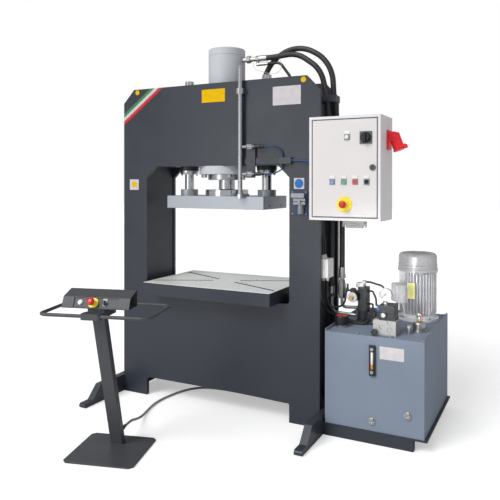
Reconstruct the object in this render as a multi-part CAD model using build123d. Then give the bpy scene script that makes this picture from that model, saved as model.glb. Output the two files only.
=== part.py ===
"""Hydraulic press with two side columns, a power unit on its right and a two-hand console.

Millimetres, +Z up, +X to the operator's right, +Y away from the operator. The press is drawn
about the middle of its frame on the floor, and every node is moved by one offset at the end so
that the origin lies on the floor under the middle of the whole machine.
"""

import os
from math import cos, pi, radians, sin, sqrt, tan

from build123d import *

# Frame
FRAME_WIDTH = 1420.0
FRAME_HEIGHT = 2050.0
FRAME_DEPTH = 342.0
PLATE = 25.0
OPENING_WIDTH = 1036.0
OPENING_BOTTOM = 700.0
OPENING_TOP = 1528.0
OPENING_CHAMFER = 75.0
SHOULDER_WIDTH = 85.0
SHOULDER_HEIGHT = 90.0
ARCH_HEIGHT = 120.0
REAR_BOTTOM = 60.0
INNER_CORNER = 22.0
WEB = 20.0
WEB_SETBACK = 6.0
OUTER_WEB_FACE = 655.0
OUTER_WEB = 15.0
OUTER_WEB_TOP = 1955.0
CROSSHEAD_FLOOR = 40.0
TOP_PLATE_Z = 2000.0
TOP_PLATE = 20.0
CROSSHEAD_RIB_X = 155.0
LIGHTENING_HOLE = 75.0
RIB_HOLES = (1660.0, 1880.0)
BED_RIBS = (-420.0, -140.0, 140.0, 420.0)

# Feet
FOOT_THICKNESS = 45.0
FOOT_TOP = 110.0
FOOT_SHOULDER_Y = 404.0
TOE_START_Y = 482.0
TOE_END_Y = 544.0
TOE_HEIGHT = 30.0

# Work table
TABLE_WIDTH = 900.0
TABLE_DEPTH = 600.0
TABLE_THICKNESS = 80.0
SLOT_ANGLE = 25.0
SLOT_END = 95.0
SLOT_LENGTH = 480.0
SLOT_WIDTH = 18.0
SLOT_HEAD_WIDTH = 32.0
SLOT_NECK = 18.0
SLOT_HEAD = 14.0
TABLE_HOLE = 10.2

# Cylinder and ram
BARREL_RADIUS = 120.0
BORE_RADIUS = 95.0
ROD_RADIUS = 52.5
CYLINDER_TOP = 2288.0
CYLINDER_CAP = 45.0
FLANGE_RADIUS = 180.0
FLANGE_Z = 1475.0
GLAND_RADIUS = 122.5
GLAND_Z = 1440.0
GLAND_SPIGOT = 65.0
PISTON_Z = 2110.0
PISTON_LENGTH = 80.0
RUNNING_FIT = 0.05
PLATEN_WIDTH = 700.0
PLATEN_DEPTH = 350.0
PLATEN_THICKNESS = 80.0
PLATEN_TOP = 1337.0
BOSS_HEIGHT = 40.0
ROD_FLANGE_RADIUS = 140.0
GUIDE_X = 290.0
GUIDE_RADIUS = 30.0
GUIDE_TOP = 2104.0
GUIDE_BOSS_RADIUS = 58.0
BUSH_COLLAR_RADIUS = 64.0
BUSH_COLLAR = 26.0
BUSH_FLANGE_RADIUS = 61.0
BUSH_FLANGE = 24.0
BUSH_TAPER = 4.0
BUSH_SLEEVE_RADIUS = 42.5
BUSH_TOP = 1680.0
STROKE = 150.0

# Stroke rod and its switches
STROKE_ROD_X = 204.0
STROKE_ROD_Y = -200.0
STROKE_ROD_RADIUS = 14.0
STROKE_ROD_TOP = 2138.0
EYE_Z = 1980.0

# Control cabinet
CABINET_X0 = 720.0
CABINET_X1 = 1115.0
CABINET_Y0 = -365.0
CABINET_Y1 = -119.0
CABINET_Z0 = 1219.0
CABINET_Z1 = 1779.0
CABINET_WALL = 3.0
CABINET_BORDER = 18.0
DOOR_GAP = 2.5
DOOR_FOLD = 15.0
DOOR_SHEET = 3.0

# Power unit
TANK_X0 = 765.0
TANK_X1 = 1314.0
TANK_Y0 = -234.0
TANK_Y1 = 515.0
TANK_Z0 = 71.0
TANK_Z1 = 586.0
TANK_WALL = 5.0
TRAY = 10.0
LID = 10.0
MOTOR_X = 1165.0
MOTOR_Y = 330.0
MOTOR_TOP = 992.0

# Console
CONSOLE_X = -192.0
CONSOLE_Y = -880.0
CONSOLE_TURN = 15.8

# Screws
SCREW_HEAD = 0.75
FLANGE_SCREW = 20.0
FLANGE_SCREW_CIRCLE = 156.0
FLANGE_SCREW_TURNS = (-54.0, -18.0, 18.0, 54.0)
GLAND_SCREW = 10.0
GLAND_SCREW_CIRCLE = 109.0
BUSH_SCREW = 8.0
BUSH_SCREW_CIRCLE = 51.0
ROD_SCREW = 16.0
ROD_SCREW_CIRCLE = 118.0
BOSS_SCREW = 8.0
BOSS_SCREW_CIRCLE = 45.0

# Hoses and cables
HOSE_RADIUS = 17.0
HOSE_A_X = 246.0
HOSE_A_Y = 42.0
HOSE_A_LOW = 1690.0
HOSE_A_BEND = 225.0
HOSE_B_BEND = 190.0
UPPER_PORT_Z = 2213.0
LOWER_PORT_Z = 1640.0
PORT_END_X = 292.0
THIN_HOSE_RADIUS = 9.0
THIN_HOSE_X = 452.0
HOSE_A_FOOT = (757.0, 92.0, 905.0)
HOSE_B_FOOT = (700.0, 62.0, 790.0)
HOSE_A_ROUTE = (
    (HOSE_A_X, HOSE_A_Y, HOSE_A_LOW),
    (HOSE_A_X, HOSE_A_Y, 2157.0),
    (480.0, 26.0, 2292.0),
    (715.0, 22.0, 2157.0),
    (724.0, 30.0, 1960.0),
    (757.0, 92.0, 1560.0),
    HOSE_A_FOOT,
)
HOSE_B_ROUTE = (
    (PORT_END_X, 0.0, UPPER_PORT_Z),
    (330.0, 0.0, UPPER_PORT_Z),
    (500.0, -6.0, 2222.0),
    (655.0, -12.0, 2110.0),
    (690.0, 0.0, 1950.0),
    (700.0, 62.0, 1540.0),
    HOSE_B_FOOT,
)
SIGNAL_RADIUS = 4.0
TRUNK_RADIUS = 7.0
CONSOLE_CABLE = 15.0
GLAND_HEIGHT = 22.0
GLAND_ACROSS = 24.0
THIN_HOSE_ROUTE = (
    (300.0, 0.0, 2176.0),
    (380.0, 0.0, 2176.0),
    (THIN_HOSE_X, 0.0, 2080.0),
    (THIN_HOSE_X, 0.0, 1760.0),
)
LEAD_ROUTES = (
    ((362.0, -200.0, 1640.0), (430.0, -200.0, 1640.0), (478.0, -183.0, 1606.0), (478.0, -183.0, 1572.0)),
    ((362.0, -200.0, 1474.0), (430.0, -200.0, 1474.0), (478.0, -183.0, 1502.0), (478.0, -183.0, 1534.0)),
)
TRUNK_ROUTE = ((538.0, -183.0, 1553.0), (575.0, -183.0, 1553.0), (680.0, -201.0, 1546.0), (728.0, -201.0, 1546.0))

# Further places on the frame and the ram
TABLE_TOP = OPENING_BOTTOM + TABLE_THICKNESS
PLATEN_HOLE = 14.0
PLATEN_HOLE_Y = 85.0
PLATEN_HOLE_Z = 1276.0
PLATEN_HOLE_DEPTH = 40.0
CLAMP_SCREW_Y = -135.0
SENSOR_HEIGHTS = (1640.0, 1474.0)
INTERLOCK = (532.0, 634.0, 1230.0, 1376.0)

# Devices on the cabinet
BUTTON_PLACES = ((852.0, 1427.0), (917.0, 1427.0), (979.0, 1427.0))
SELECTOR_PLACE = (1041.0, 1427.0)
LAMP_PLACE = (935.0, 1664.0)
SWITCH_PLACE = (1037.0, 1659.0)
LOCK_PLACE = (1073.0, 1502.0)
STOP_PLACE = (920.0, 1307.0)
CONNECTOR_X0 = 882.0
CONNECTOR_X1 = 1001.0
DEVICE_HOLE = 13.3
BUTTON_RADIUS = 11.0
SWITCH_STEM = 6.0
STOP_STEM = 8.0
STOP_DISC_RADIUS = 43.0
LOCK_RADIUS = 11.0
STOP_DEPTH = 25.0
STOP_LIP = 8.0
HINGE_PIN = 2.5
HINGE_X = CABINET_X0 + CABINET_BORDER + DOOR_GAP + 5
HINGE_Y = CABINET_Y0 + 5
INLET_Y = -210.0
INLET_Z = 1652.0
INLET_TILT = 70.0
INLET_REACH = 38.0
INLET_RISE = 10.0
INLET_RADIUS = 30.0
INLET_LENGTH = 62.0
FLAP_PIN = (-39.0, 64.0)
FLAP_PIN_RADIUS = 3.0
FLAP_BARREL = 7.0

# Places on the tank
TANK_WING = 14.0
TANK_PLUGS = ((1033.0, 125.0), (1227.0, 187.0))
LEVEL_PLACE = (1038.0, 457.0)
LID_SCREW = 8.0
LID_SIDES = [(x, y) for x in (781.0, 1298.0) for y in (-216.0, -40.0, 140.0, 320.0, 497.0)]
LID_SCREWS = LID_SIDES + [(x, y) for x in (950.0, 1130.0) for y in (-216.0, 497.0)]
FILLER = (815.0, -87.0)
FILLER_RADIUS = 38.0
FILTER = (1240.0, 0.0)
FILTER_RADIUS = 36.0
TEST_POINT = (1204.0, -95.0)
TOWER = (893.0, 96.0)
TOWER_BASE = 655.0
TOWER_TOP = 795.0
COIL_Z = 742.0
MANIFOLD = (1028.0, 1155.0, -195.0, -100.0)
MANIFOLD_TOP = 670.0
VALVE_HEAD = 753.0
GAUGE = (1088.0, -165.0)
GAUGE_Z = 806.0
GAUGE_RADIUS = 35.0
NEEDLE_REST = -135.0
KNOB_X = 1090.0
KNOB_Z = 702.0
BLUE_X = 1047.0
BLUE_Y = -150.0
BLUE_Z = 712.0
HAND_KNOB = (1042.0, 607.0)
VALVE_TOP = 830.0
VALVE_BOTTOM = 715.0
VALVE_MIDDLE = (VALVE_TOP + VALVE_BOTTOM) / 2
JUNCTION_BOTTOM = (700.0, -80.0, 865.0)
JUNCTION_TOP = 975.0
VALVE_HOSE_RADIUS = 5.5
VALVE_HOSE_ROUTES = (
    ((905.0, 96.0, 825.0), (935.0, 96.0, 825.0), (1050.0, -50.0, 832.0), (1074.0, -118.0, 800.0), (1074.0, -118.0, 767.0)),
    ((921.0, 91.0, 773.0), (948.0, 91.0, 773.0), (1000.0, -20.0, 752.0), (1030.0, -130.0, 735.0), (1060.0, -130.0, 735.0)),
    ((921.0, 96.0, 695.0), (948.0, 96.0, 695.0), (985.0, -30.0, 672.0), (1000.0, -150.0, 640.0), (1028.0, -150.0, 640.0)),
)
BOX_CABLE_RADIUS = 6.0
TERMINAL_LOW = 692.0
MOTOR_CABLE_ROUTE = (
    (676.0, -80.0, 843.0),
    (676.0, -80.0, 720.0),
    (715.0, -20.0, 640.0),
    (800.0, 22.0, 610.0),
    (860.0, 24.0, 593.0),
    (1000.0, 24.0, 593.0),
    (1036.0, 150.0, 593.0),
    (1047.0, 238.0, 602.0),
    (1058.0, 255.0, 640.0),
    (1058.0, 255.0, TERMINAL_LOW),
)
COIL_CABLE_ROUTE = (
    (700.0, -80.0, 843.0),
    (700.0, -80.0, 730.0),
    (750.0, -50.0, 680.0),
    (800.0, 10.0, 690.0),
    (806.0, 28.0, 778.0),
    (834.0, 28.0, 778.0),
)
SWITCH_CABLE_ROUTE = (
    (724.0, -80.0, 843.0),
    (724.0, -80.0, 720.0),
    (762.0, -40.0, 640.0),
    (835.0, -4.0, 593.0),
    (930.0, 0.0, 593.0),
    (945.0, 34.0, 625.0),
    (945.0, 70.0, 625.0),
)
RISER_Y = -136.0
RISER_HEIGHTS = (1470.0, 1500.0)

# Motor and pump
MOTOR_FLANGE = 16.0
MOTOR_BORE = 62.0
MOTOR_CORE = 86.0
MOTOR_FIN = 111.0
FIN_COUNT = 36
MOTOR_BOLT = 12.0
MOTOR_BOLT_CIRCLE = 114.0
COVER_Z = 882.0
COVER_RADIUS = 119.0
COVER_LIP = 14.0
COVER_STEP = 3.0
COVER_TAPER = 6.0
COVER_ROUND = 24.0
COVER_WALL = 2.5
SHAFT_RADIUS = 15.0
TERMINAL_ANGLE = 215.0
TERMINAL_HIGH = 802.0
PUMP_TOP = 440.0

# Places on the console
BASE_WIDTH = 380.0
BASE_FRONT = -246.0
BASE_DEPTH = 360.0
BASE_THICKNESS = 8.0
BASE_CORNER = 20.0
POST_WIDTH = 66.0
POST_DEPTH = 42.0
POST_WALL = 4.0
POST_LEAN = 233.0
TRAY_TOP = 792.0
SHELF_TOP = 774.0
SHELF_DEPTH = 30.0
RAIL_FRONT = -290.0
RAIL_REAR = 46.0
RAIL_Z = 760.0
RAIL_RADIUS = 9.0
RAIL_WIDTH = 582.0
RAIL_BEND = 40.0
CONSOLE_LENGTH = 360.0
HOOD_X = 124.0
PALM_Y = -205.0
PALM_Z = 823.0
STOP_X = -15.0
SELECTOR_X = 48.0
LAMP_X = -84.0
CONSOLE_DISC_RADIUS = 27.0
PANEL_RECESS = 5.0
PANEL_TOP = (-240.0, 54.0)
PANEL_BOTTOM = (-262.0, 4.0)
CABLE_EXIT_X = 20.0
CABLE_EXIT_Y = 20.5
CABLE_EXIT_Z = 80.0
CABLE_ROUTE = (
    (-174.9, -866.9, 80.0),
    (-213.6, -730.2, 80.0),
    (-243.0, -650.0, 50.0),
    (-290.0, -530.0, 16.0),
    (-330.0, -420.0, 8.0),
    (-358.0, -320.0, 8.0),
    (-366.0, -215.0, 8.0),
    (-350.0, -90.0, 8.0),
    (-308.0, 35.0, 8.0),
    (-235.0, 110.0, 8.0),
    (-90.0, 136.0, 8.0),
    (90.0, 128.0, 8.0),
    (240.0, 119.0, 8.0),
    (330.0, 110.0, 8.0),
    (420.0, 109.0, 8.0),
    (470.0, 108.0, 58.0),
    (470.0, 108.0, 150.0),
)

CLEAR = 0.3
BEND_SHARE = 0.45


def block(x0, x1, y0, y1, z0, z1):
    """A square block between six faces."""
    middle = Pos((x0 + x1) / 2, (y0 + y1) / 2, (z0 + z1) / 2)
    return middle * Box(abs(x1 - x0), abs(y1 - y0), abs(z1 - z0))


def post(x, y, z0, z1, radius):
    """A round bar standing at x, y."""
    return Pos(x, y, (z0 + z1) / 2) * Cylinder(radius, z1 - z0)


def bar_x(x0, x1, y, z, radius):
    """A round bar lying along X."""
    return Pos((x0 + x1) / 2, y, z) * Rot(0, 90, 0) * Cylinder(radius, x1 - x0)


def bar_y(x, y0, y1, z, radius):
    """A round bar lying along Y."""
    return Pos(x, (y0 + y1) / 2, z) * Rot(90, 0, 0) * Cylinder(radius, y1 - y0)


def hexagon(x, y, z0, z1, across):
    """A hexagonal nut or screw head standing at x, y."""
    return Pos(x, y, z0) * extrude(RegularPolygon(across / sqrt(3), 6), z1 - z0)


def turned(points, x=0.0, y=0.0):
    """A solid turned about an upright axis at x, y from radius and height points."""
    profile = make_face(Plane.XZ * Polyline(*points, close=True))
    return Pos(x, y, 0) * revolve(profile, Axis.Z)


def pipe(points, radius, bend):
    """A round tube, cable or hose of straight runs joined by bends."""
    path = FilletPolyline(*points, radius=bend)
    start = path.location_at(0)
    return sweep(Plane(start.position, z_dir=path % 0) * Circle(radius), path)


def bend_radii(points):
    """The largest gentle radius that fits each corner of a route."""
    radii = []
    for a, b, c in zip(points, points[1:], points[2:]):
        u = Vector(*b) - Vector(*a)
        v = Vector(*c) - Vector(*b)
        turn = radians(u.get_angle(v))
        radii.append(BEND_SHARE * min(u.length, v.length) / tan(turn / 2))
    return radii


def laid(route, radius):
    """A loosely laid cable made of straight runs and tangent arcs as wide as its route allows."""
    points = [Vector(*p) for p in route]
    edges = []
    start = points[0]
    for before, corner, after, bend in zip(points, points[1:], points[2:], bend_radii(route)):
        u = (corner - before).normalized()
        v = (after - corner).normalized()
        turn = radians(u.get_angle(v))
        reach = bend * tan(turn / 2)
        enter = corner - u * reach
        leave = corner + v * reach
        middle = corner + (v - u).normalized() * (bend / cos(turn / 2) - bend)
        edges.append(Line(start, enter))
        edges.append(ThreePointArc(enter, middle, leave))
        start = leave
    edges.append(Line(start, points[-1]))
    path = Wire([edge.edge() for edge in edges])
    direction = (points[1] - points[0]).normalized()
    return sweep(Plane(points[0], z_dir=direction) * Circle(radius), path)


def mirrored(solid):
    """A solid and its mirror image on the other side of the frame."""
    return [solid, mirror(solid, Plane.YZ)]


def cut_all(body, tools):
    """A body with every tool taken away."""
    for tool in tools:
        body = body - tool
    return body


def join_all(pieces):
    """Pieces of one casting or weldment joined to one solid."""
    joined = pieces[0]
    for piece in pieces[1:]:
        joined = joined + piece
    return joined


def around(count, radius, start=0.0):
    """Places evenly spaced on a circle."""
    step = 2 * pi / count
    return [(radius * cos(start + step * i), radius * sin(start + step * i)) for i in range(count)]


def flange_screw_places():
    """Places of the cylinder's screws, kept clear of both frame plates."""
    turns = [radians(turn + side) for side in (0, 180) for turn in FLANGE_SCREW_TURNS]
    return [(FLANGE_SCREW_CIRCLE * cos(turn), FLANGE_SCREW_CIRCLE * sin(turn)) for turn in turns]


def cap_screw(size, length):
    """A socket screw standing on its head's seat, with its shank below."""
    head = post(0, 0, 0, size, SCREW_HEAD * size)
    socket = Pos(0, 0, 0.5 * size) * extrude(RegularPolygon(0.45 * size, 6), size)
    return head - socket + post(0, 0, -length, 0, size / 2)


# Frame
def plate_face(bottom):
    """One frame plate seen from the front with its window, closed below by the given points."""
    half = FRAME_WIDTH / 2
    inner = OPENING_WIDTH / 2
    outside = Polyline(
        *bottom,
        (half, FRAME_HEIGHT - SHOULDER_HEIGHT),
        (half - SHOULDER_WIDTH, FRAME_HEIGHT),
        (SHOULDER_WIDTH - half, FRAME_HEIGHT),
        (-half, FRAME_HEIGHT - SHOULDER_HEIGHT),
        close=True,
    )
    window = make_face(
        Polyline(
            (-inner, OPENING_BOTTOM),
            (inner, OPENING_BOTTOM),
            (inner, OPENING_TOP - OPENING_CHAMFER),
            (inner - OPENING_CHAMFER, OPENING_TOP),
            (OPENING_CHAMFER - inner, OPENING_TOP),
            (-inner, OPENING_TOP - OPENING_CHAMFER),
            close=True,
        )
    )
    corners = window.vertices().group_by(Axis.Y)[0]
    return make_face(outside) - fillet(corners, INNER_CORNER)


def front_plate():
    """Front plate, which stands on the floor on two legs with an arch between them."""
    half = FRAME_WIDTH / 2
    inner = OPENING_WIDTH / 2
    legs = [(-half, 0), (-inner, 0), (-inner, ARCH_HEIGHT), (inner, ARCH_HEIGHT), (inner, 0), (half, 0)]
    plate = extrude(Plane.XZ * plate_face(legs), PLATE)
    arch = plate.edges().filter_by(Axis.Y).filter_by_position(Axis.Z, ARCH_HEIGHT - 1, ARCH_HEIGHT + 1)
    return Pos(0, PLATE - FRAME_DEPTH / 2, 0) * fillet(arch, INNER_CORNER)


def rear_plate():
    """Rear plate, which ends above the floor and stands on the feet."""
    half = FRAME_WIDTH / 2
    plate = extrude(Plane.XZ * plate_face([(-half, REAR_BOTTOM), (half, REAR_BOTTOM)]), PLATE)
    return Pos(0, FRAME_DEPTH / 2, 0) * plate


def crosshead_floor():
    """Thick plate over the window and the collar over each bush, bored for what passes through."""
    inside = FRAME_DEPTH / 2 - PLATE
    edge = OPENING_WIDTH / 2 + WEB_SETBACK
    top = OPENING_TOP + CROSSHEAD_FLOOR
    low = OPENING_TOP - BUSH_COLLAR
    floor = block(-edge, edge, -inside, inside, OPENING_TOP, top)
    holes = [post(0, 0, OPENING_TOP, top, BARREL_RADIUS + 1)]
    collars = [post(side * GUIDE_X, 0, low, OPENING_TOP, BUSH_COLLAR_RADIUS) for side in (-1, 1)]
    for side in (-1, 1):
        holes.append(post(side * GUIDE_X, 0, low, top, BUSH_SLEEVE_RADIUS + RUNNING_FIT))
        for dx, dy in around(4, BUSH_SCREW_CIRCLE, pi / 4):
            holes.append(post(side * GUIDE_X + dx, dy, low, top - 8, BUSH_SCREW / 2 + CLEAR))
    for x, y in flange_screw_places():
        holes.append(post(x, y, OPENING_TOP, top - 4, FLANGE_SCREW / 2 + CLEAR))
    return [cut_all(piece, holes) for piece in (floor, *collars)]


def top_plate():
    """Plate over the crosshead, open for the cylinder, the columns and two hoses."""
    inside = FRAME_DEPTH / 2 - PLATE
    edge = OPENING_WIDTH / 2 + WEB_SETBACK
    top = TOP_PLATE_Z + TOP_PLATE
    holes = [post(0, 0, TOP_PLATE_Z, top, BARREL_RADIUS + 1)]
    for side in (-1, 1):
        holes.append(post(side * GUIDE_X, 0, TOP_PLATE_Z, top, GUIDE_RADIUS + 2))
    holes.append(post(HOSE_A_X, HOSE_A_Y, TOP_PLATE_Z, top, HOSE_RADIUS + 3))
    holes.append(post(THIN_HOSE_X, 0, TOP_PLATE_Z, top, THIN_HOSE_RADIUS + 3))
    return cut_all(block(-edge, edge, -inside, inside, TOP_PLATE_Z, top), holes)


def crosshead_rib(side):
    """Rib beside the cylinder, with two lightening holes."""
    inside = FRAME_DEPTH / 2 - PLATE
    x = side * CROSSHEAD_RIB_X
    rib = block(x - WEB / 2, x + WEB / 2, -inside, inside, OPENING_TOP + CROSSHEAD_FLOOR, TOP_PLATE_Z)
    return cut_all(rib, [bar_x(x - WEB, x + WEB, 0, height, LIGHTENING_HOLE) for height in RIB_HOLES])


def bed_floor():
    """Plate under the bed with the hole and the gland of the console's cable."""
    inside = FRAME_DEPTH / 2 - PLATE
    edge = OPENING_WIDTH / 2 + WEB_SETBACK
    x, y, _ = CABLE_ROUTE[-1]
    hole = post(x, y, ARCH_HEIGHT - GLAND_HEIGHT, ARCH_HEIGHT + WEB, CONSOLE_CABLE / 2 + CLEAR)
    floor = block(-edge, edge, -inside, inside, ARCH_HEIGHT, ARCH_HEIGHT + WEB)
    gland = hexagon(x, y, ARCH_HEIGHT - GLAND_HEIGHT, ARCH_HEIGHT, GLAND_ACROSS)
    return [floor - hole, gland - hole]


def frame_webs():
    """The separate plates welded between the two frame plates."""
    inside = FRAME_DEPTH / 2 - PLATE
    edge = OPENING_WIDTH / 2 + WEB_SETBACK
    outer = OUTER_WEB_FACE - OUTER_WEB
    top = TOP_PLATE_Z + TOP_PLATE
    plates = [*crosshead_floor(), top_plate(), *bed_floor()]
    for side in (-1, 1):
        plates.append(crosshead_rib(side))
        plates.append(block(side * edge, side * (edge + WEB), -inside, inside, ARCH_HEIGHT, top))
        plates.append(block(side * outer, side * OUTER_WEB_FACE, -inside, inside, ARCH_HEIGHT, OUTER_WEB_TOP))
        for low in (ARCH_HEIGHT, OPENING_TOP):
            plates.append(block(side * (edge + WEB), side * outer, -inside, inside, low, low + WEB))
    for x in BED_RIBS:
        plates.append(block(x - WEB / 2, x + WEB / 2, -inside, inside, ARCH_HEIGHT + WEB, OPENING_BOTTOM))
    return plates


def foot():
    """The right foot: a long plate with a rounded toe before and behind the frame."""
    toe = TOE_HEIGHT / 2
    outline = Polyline((-TOE_END_Y, 0), (TOE_END_Y, 0))
    outline += ThreePointArc((TOE_END_Y, 0), (TOE_END_Y + toe, toe), (TOE_END_Y, TOE_HEIGHT))
    outline += Polyline(
        (TOE_END_Y, TOE_HEIGHT),
        (TOE_START_Y, TOE_HEIGHT),
        (FOOT_SHOULDER_Y, FOOT_TOP),
        (-FOOT_SHOULDER_Y, FOOT_TOP),
        (-TOE_START_Y, TOE_HEIGHT),
        (-TOE_END_Y, TOE_HEIGHT),
    )
    outline += ThreePointArc((-TOE_END_Y, TOE_HEIGHT), (-TOE_END_Y - toe, toe), (-TOE_END_Y, 0))
    return Pos(FRAME_WIDTH / 2, 0, 0) * extrude(Plane.YZ * make_face(outline), FOOT_THICKNESS)


# Work table
def work_table():
    """Clamping table with a T-slot running in from each corner and tapped holes between."""
    table = block(-TABLE_WIDTH / 2, TABLE_WIDTH / 2, -TABLE_DEPTH / 2, TABLE_DEPTH / 2, OPENING_BOTTOM, TABLE_TOP)
    table = chamfer(table.edges().group_by(Axis.Z)[-1], 2)
    neck_bottom = TABLE_TOP - SLOT_NECK
    head_bottom = neck_bottom - SLOT_HEAD
    slot = block(SLOT_END, SLOT_LENGTH, -SLOT_WIDTH / 2, SLOT_WIDTH / 2, neck_bottom, TABLE_TOP)
    slot = slot + post(SLOT_END, 0, neck_bottom, TABLE_TOP, SLOT_WIDTH / 2)
    slot = slot + block(SLOT_END, SLOT_LENGTH, -SLOT_HEAD_WIDTH / 2, SLOT_HEAD_WIDTH / 2, head_bottom, neck_bottom)
    slot = slot + post(SLOT_END, 0, head_bottom, neck_bottom, SLOT_HEAD_WIDTH / 2)
    for angle in (SLOT_ANGLE, 180 - SLOT_ANGLE, 180 + SLOT_ANGLE, -SLOT_ANGLE):
        table = table - Rot(0, 0, angle) * slot
    for x in (126.0, 156.0):
        for y in (-125.0, -24.0, 24.0, 125.0):
            for side in (-1, 1):
                table = table - post(side * x, y, TABLE_TOP - 26, TABLE_TOP, TABLE_HOLE / 2)
    return table


# Cylinder and ram
def cylinder():
    """Barrel with its mounting flange, closed top and two oil ports."""
    seam = CYLINDER_TOP - CYLINDER_CAP
    barrel = turned(
        [
            (BORE_RADIUS, FLANGE_Z),
            (FLANGE_RADIUS - 3, FLANGE_Z),
            (FLANGE_RADIUS, FLANGE_Z + 3),
            (FLANGE_RADIUS, OPENING_TOP),
            (BARREL_RADIUS, OPENING_TOP),
            (BARREL_RADIUS, seam - 2),
            (BARREL_RADIUS - 2, seam),
            (BARREL_RADIUS, seam + 2),
            (BARREL_RADIUS, CYLINDER_TOP - 5),
            (BARREL_RADIUS - 5, CYLINDER_TOP),
            (0, CYLINDER_TOP),
            (0, seam),
            (BORE_RADIUS, seam),
        ]
    )
    for x, y in flange_screw_places():
        barrel = barrel - post(x, y, FLANGE_Z, OPENING_TOP, FLANGE_SCREW / 2 + CLEAR)
    for x, y in around(8, GLAND_SCREW_CIRCLE):
        barrel = barrel - post(x, y, FLANGE_Z, FLANGE_Z + 32, GLAND_SCREW / 2 + CLEAR)
    for height, y in ((UPPER_PORT_Z, 0), (LOWER_PORT_Z, HOSE_A_Y)):
        barrel = barrel - bar_x(BORE_RADIUS - 30, BARREL_RADIUS + 5, y, height, 10)
    return barrel


def gland_and_bushes():
    """Gland ring under the cylinder and the flanged bush of each guide column."""
    inside = ROD_RADIUS + RUNNING_FIT
    spigot = BORE_RADIUS - RUNNING_FIT
    top = FLANGE_Z + GLAND_SPIGOT
    profile = [(inside, GLAND_Z), (GLAND_RADIUS - 2, GLAND_Z), (GLAND_RADIUS, GLAND_Z + 2), (GLAND_RADIUS, FLANGE_Z)]
    profile += [(spigot, FLANGE_Z), (spigot, top), (inside, top)]
    for low, high in ((top - 22, top - 12), (top - 48, top - 38), (GLAND_Z + 8, GLAND_Z + 14)):
        profile += [(inside, high), (inside + 7, high), (inside + 7, low), (inside, low)]
    gland = turned(profile)
    for x, y in around(8, GLAND_SCREW_CIRCLE):
        gland = gland - post(x, y, GLAND_Z, FLANGE_Z, GLAND_SCREW / 2 + CLEAR)
        gland = gland - post(x, y, GLAND_Z, GLAND_Z + GLAND_SCREW, SCREW_HEAD * GLAND_SCREW + CLEAR)
    seat = OPENING_TOP - BUSH_COLLAR
    low = seat - BUSH_FLANGE
    bush = turned(
        [
            (GUIDE_RADIUS + RUNNING_FIT, low),
            (BUSH_FLANGE_RADIUS - BUSH_TAPER, low),
            (BUSH_FLANGE_RADIUS, low + 3 * BUSH_TAPER),
            (BUSH_FLANGE_RADIUS, seat),
            (BUSH_SLEEVE_RADIUS, seat),
            (BUSH_SLEEVE_RADIUS, BUSH_TOP),
            (GUIDE_RADIUS + RUNNING_FIT, BUSH_TOP),
        ],
        GUIDE_X,
    )
    for dx, dy in around(4, BUSH_SCREW_CIRCLE, pi / 4):
        bush = bush - post(GUIDE_X + dx, dy, low, seat, BUSH_SCREW / 2 + CLEAR)
    return [gland, *mirrored(bush)]


def crosshead_screws():
    """Screws that hold the cylinder, the gland and both bushes from below."""
    upward = Rot(180, 0, 0)
    bush_low = OPENING_TOP - BUSH_COLLAR - BUSH_FLANGE
    flange_screw = upward * cap_screw(FLANGE_SCREW, OPENING_TOP - FLANGE_Z + 30)
    gland_screw = upward * cap_screw(GLAND_SCREW, FLANGE_Z - GLAND_Z + 18)
    bush_screw = upward * cap_screw(BUSH_SCREW, BUSH_FLANGE + BUSH_COLLAR + 22)
    screws = [Pos(x, y, FLANGE_Z) * flange_screw for x, y in flange_screw_places()]
    screws += [Pos(x, y, GLAND_Z + GLAND_SCREW) * gland_screw for x, y in around(8, GLAND_SCREW_CIRCLE)]
    for side in (-1, 1):
        for dx, dy in around(4, BUSH_SCREW_CIRCLE, pi / 4):
            screws.append(Pos(side * GUIDE_X + dx, dy, bush_low) * bush_screw)
    return screws


def platen():
    """Moving platen with a clamping boss for each guide column."""
    half_w = PLATEN_WIDTH / 2
    half_d = PLATEN_DEPTH / 2
    boss_top = PLATEN_TOP + BOSS_HEIGHT
    plate = block(-half_w, half_w, -half_d, half_d, PLATEN_TOP - PLATEN_THICKNESS, PLATEN_TOP)
    plate = chamfer(plate.edges(), 1.5)
    for side in (-1, 1):
        boss = turned(
            [
                (GUIDE_RADIUS + RUNNING_FIT, PLATEN_TOP),
                (GUIDE_BOSS_RADIUS, PLATEN_TOP),
                (GUIDE_BOSS_RADIUS, boss_top - 2),
                (GUIDE_BOSS_RADIUS - 2, boss_top),
                (GUIDE_RADIUS + RUNNING_FIT, boss_top),
            ],
            side * GUIDE_X,
        )
        plate = plate + boss
        for dx, dy in around(4, BOSS_SCREW_CIRCLE, pi / 4):
            x = side * GUIDE_X + dx
            plate = plate - post(x, dy, PLATEN_TOP, boss_top, BOSS_SCREW / 2 + CLEAR)
            plate = plate - post(x, dy, boss_top - BOSS_SCREW, boss_top, SCREW_HEAD * BOSS_SCREW + CLEAR)
        for y in (-PLATEN_HOLE_Y, PLATEN_HOLE_Y):
            plate = plate - bar_x(
                side * half_w - PLATEN_HOLE_DEPTH, side * half_w + PLATEN_HOLE_DEPTH, y, PLATEN_HOLE_Z, PLATEN_HOLE / 2
            )
    for x, y in around(8, ROD_SCREW_CIRCLE, pi / 8):
        plate = plate - post(x, y, PLATEN_TOP - 30, PLATEN_TOP, ROD_SCREW / 2 + CLEAR)
    for x in (STROKE_ROD_X - 12, STROKE_ROD_X + 12):
        plate = plate - post(x, CLAMP_SCREW_Y, PLATEN_TOP - 20, PLATEN_TOP, 3 + CLEAR)
    return plate


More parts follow.
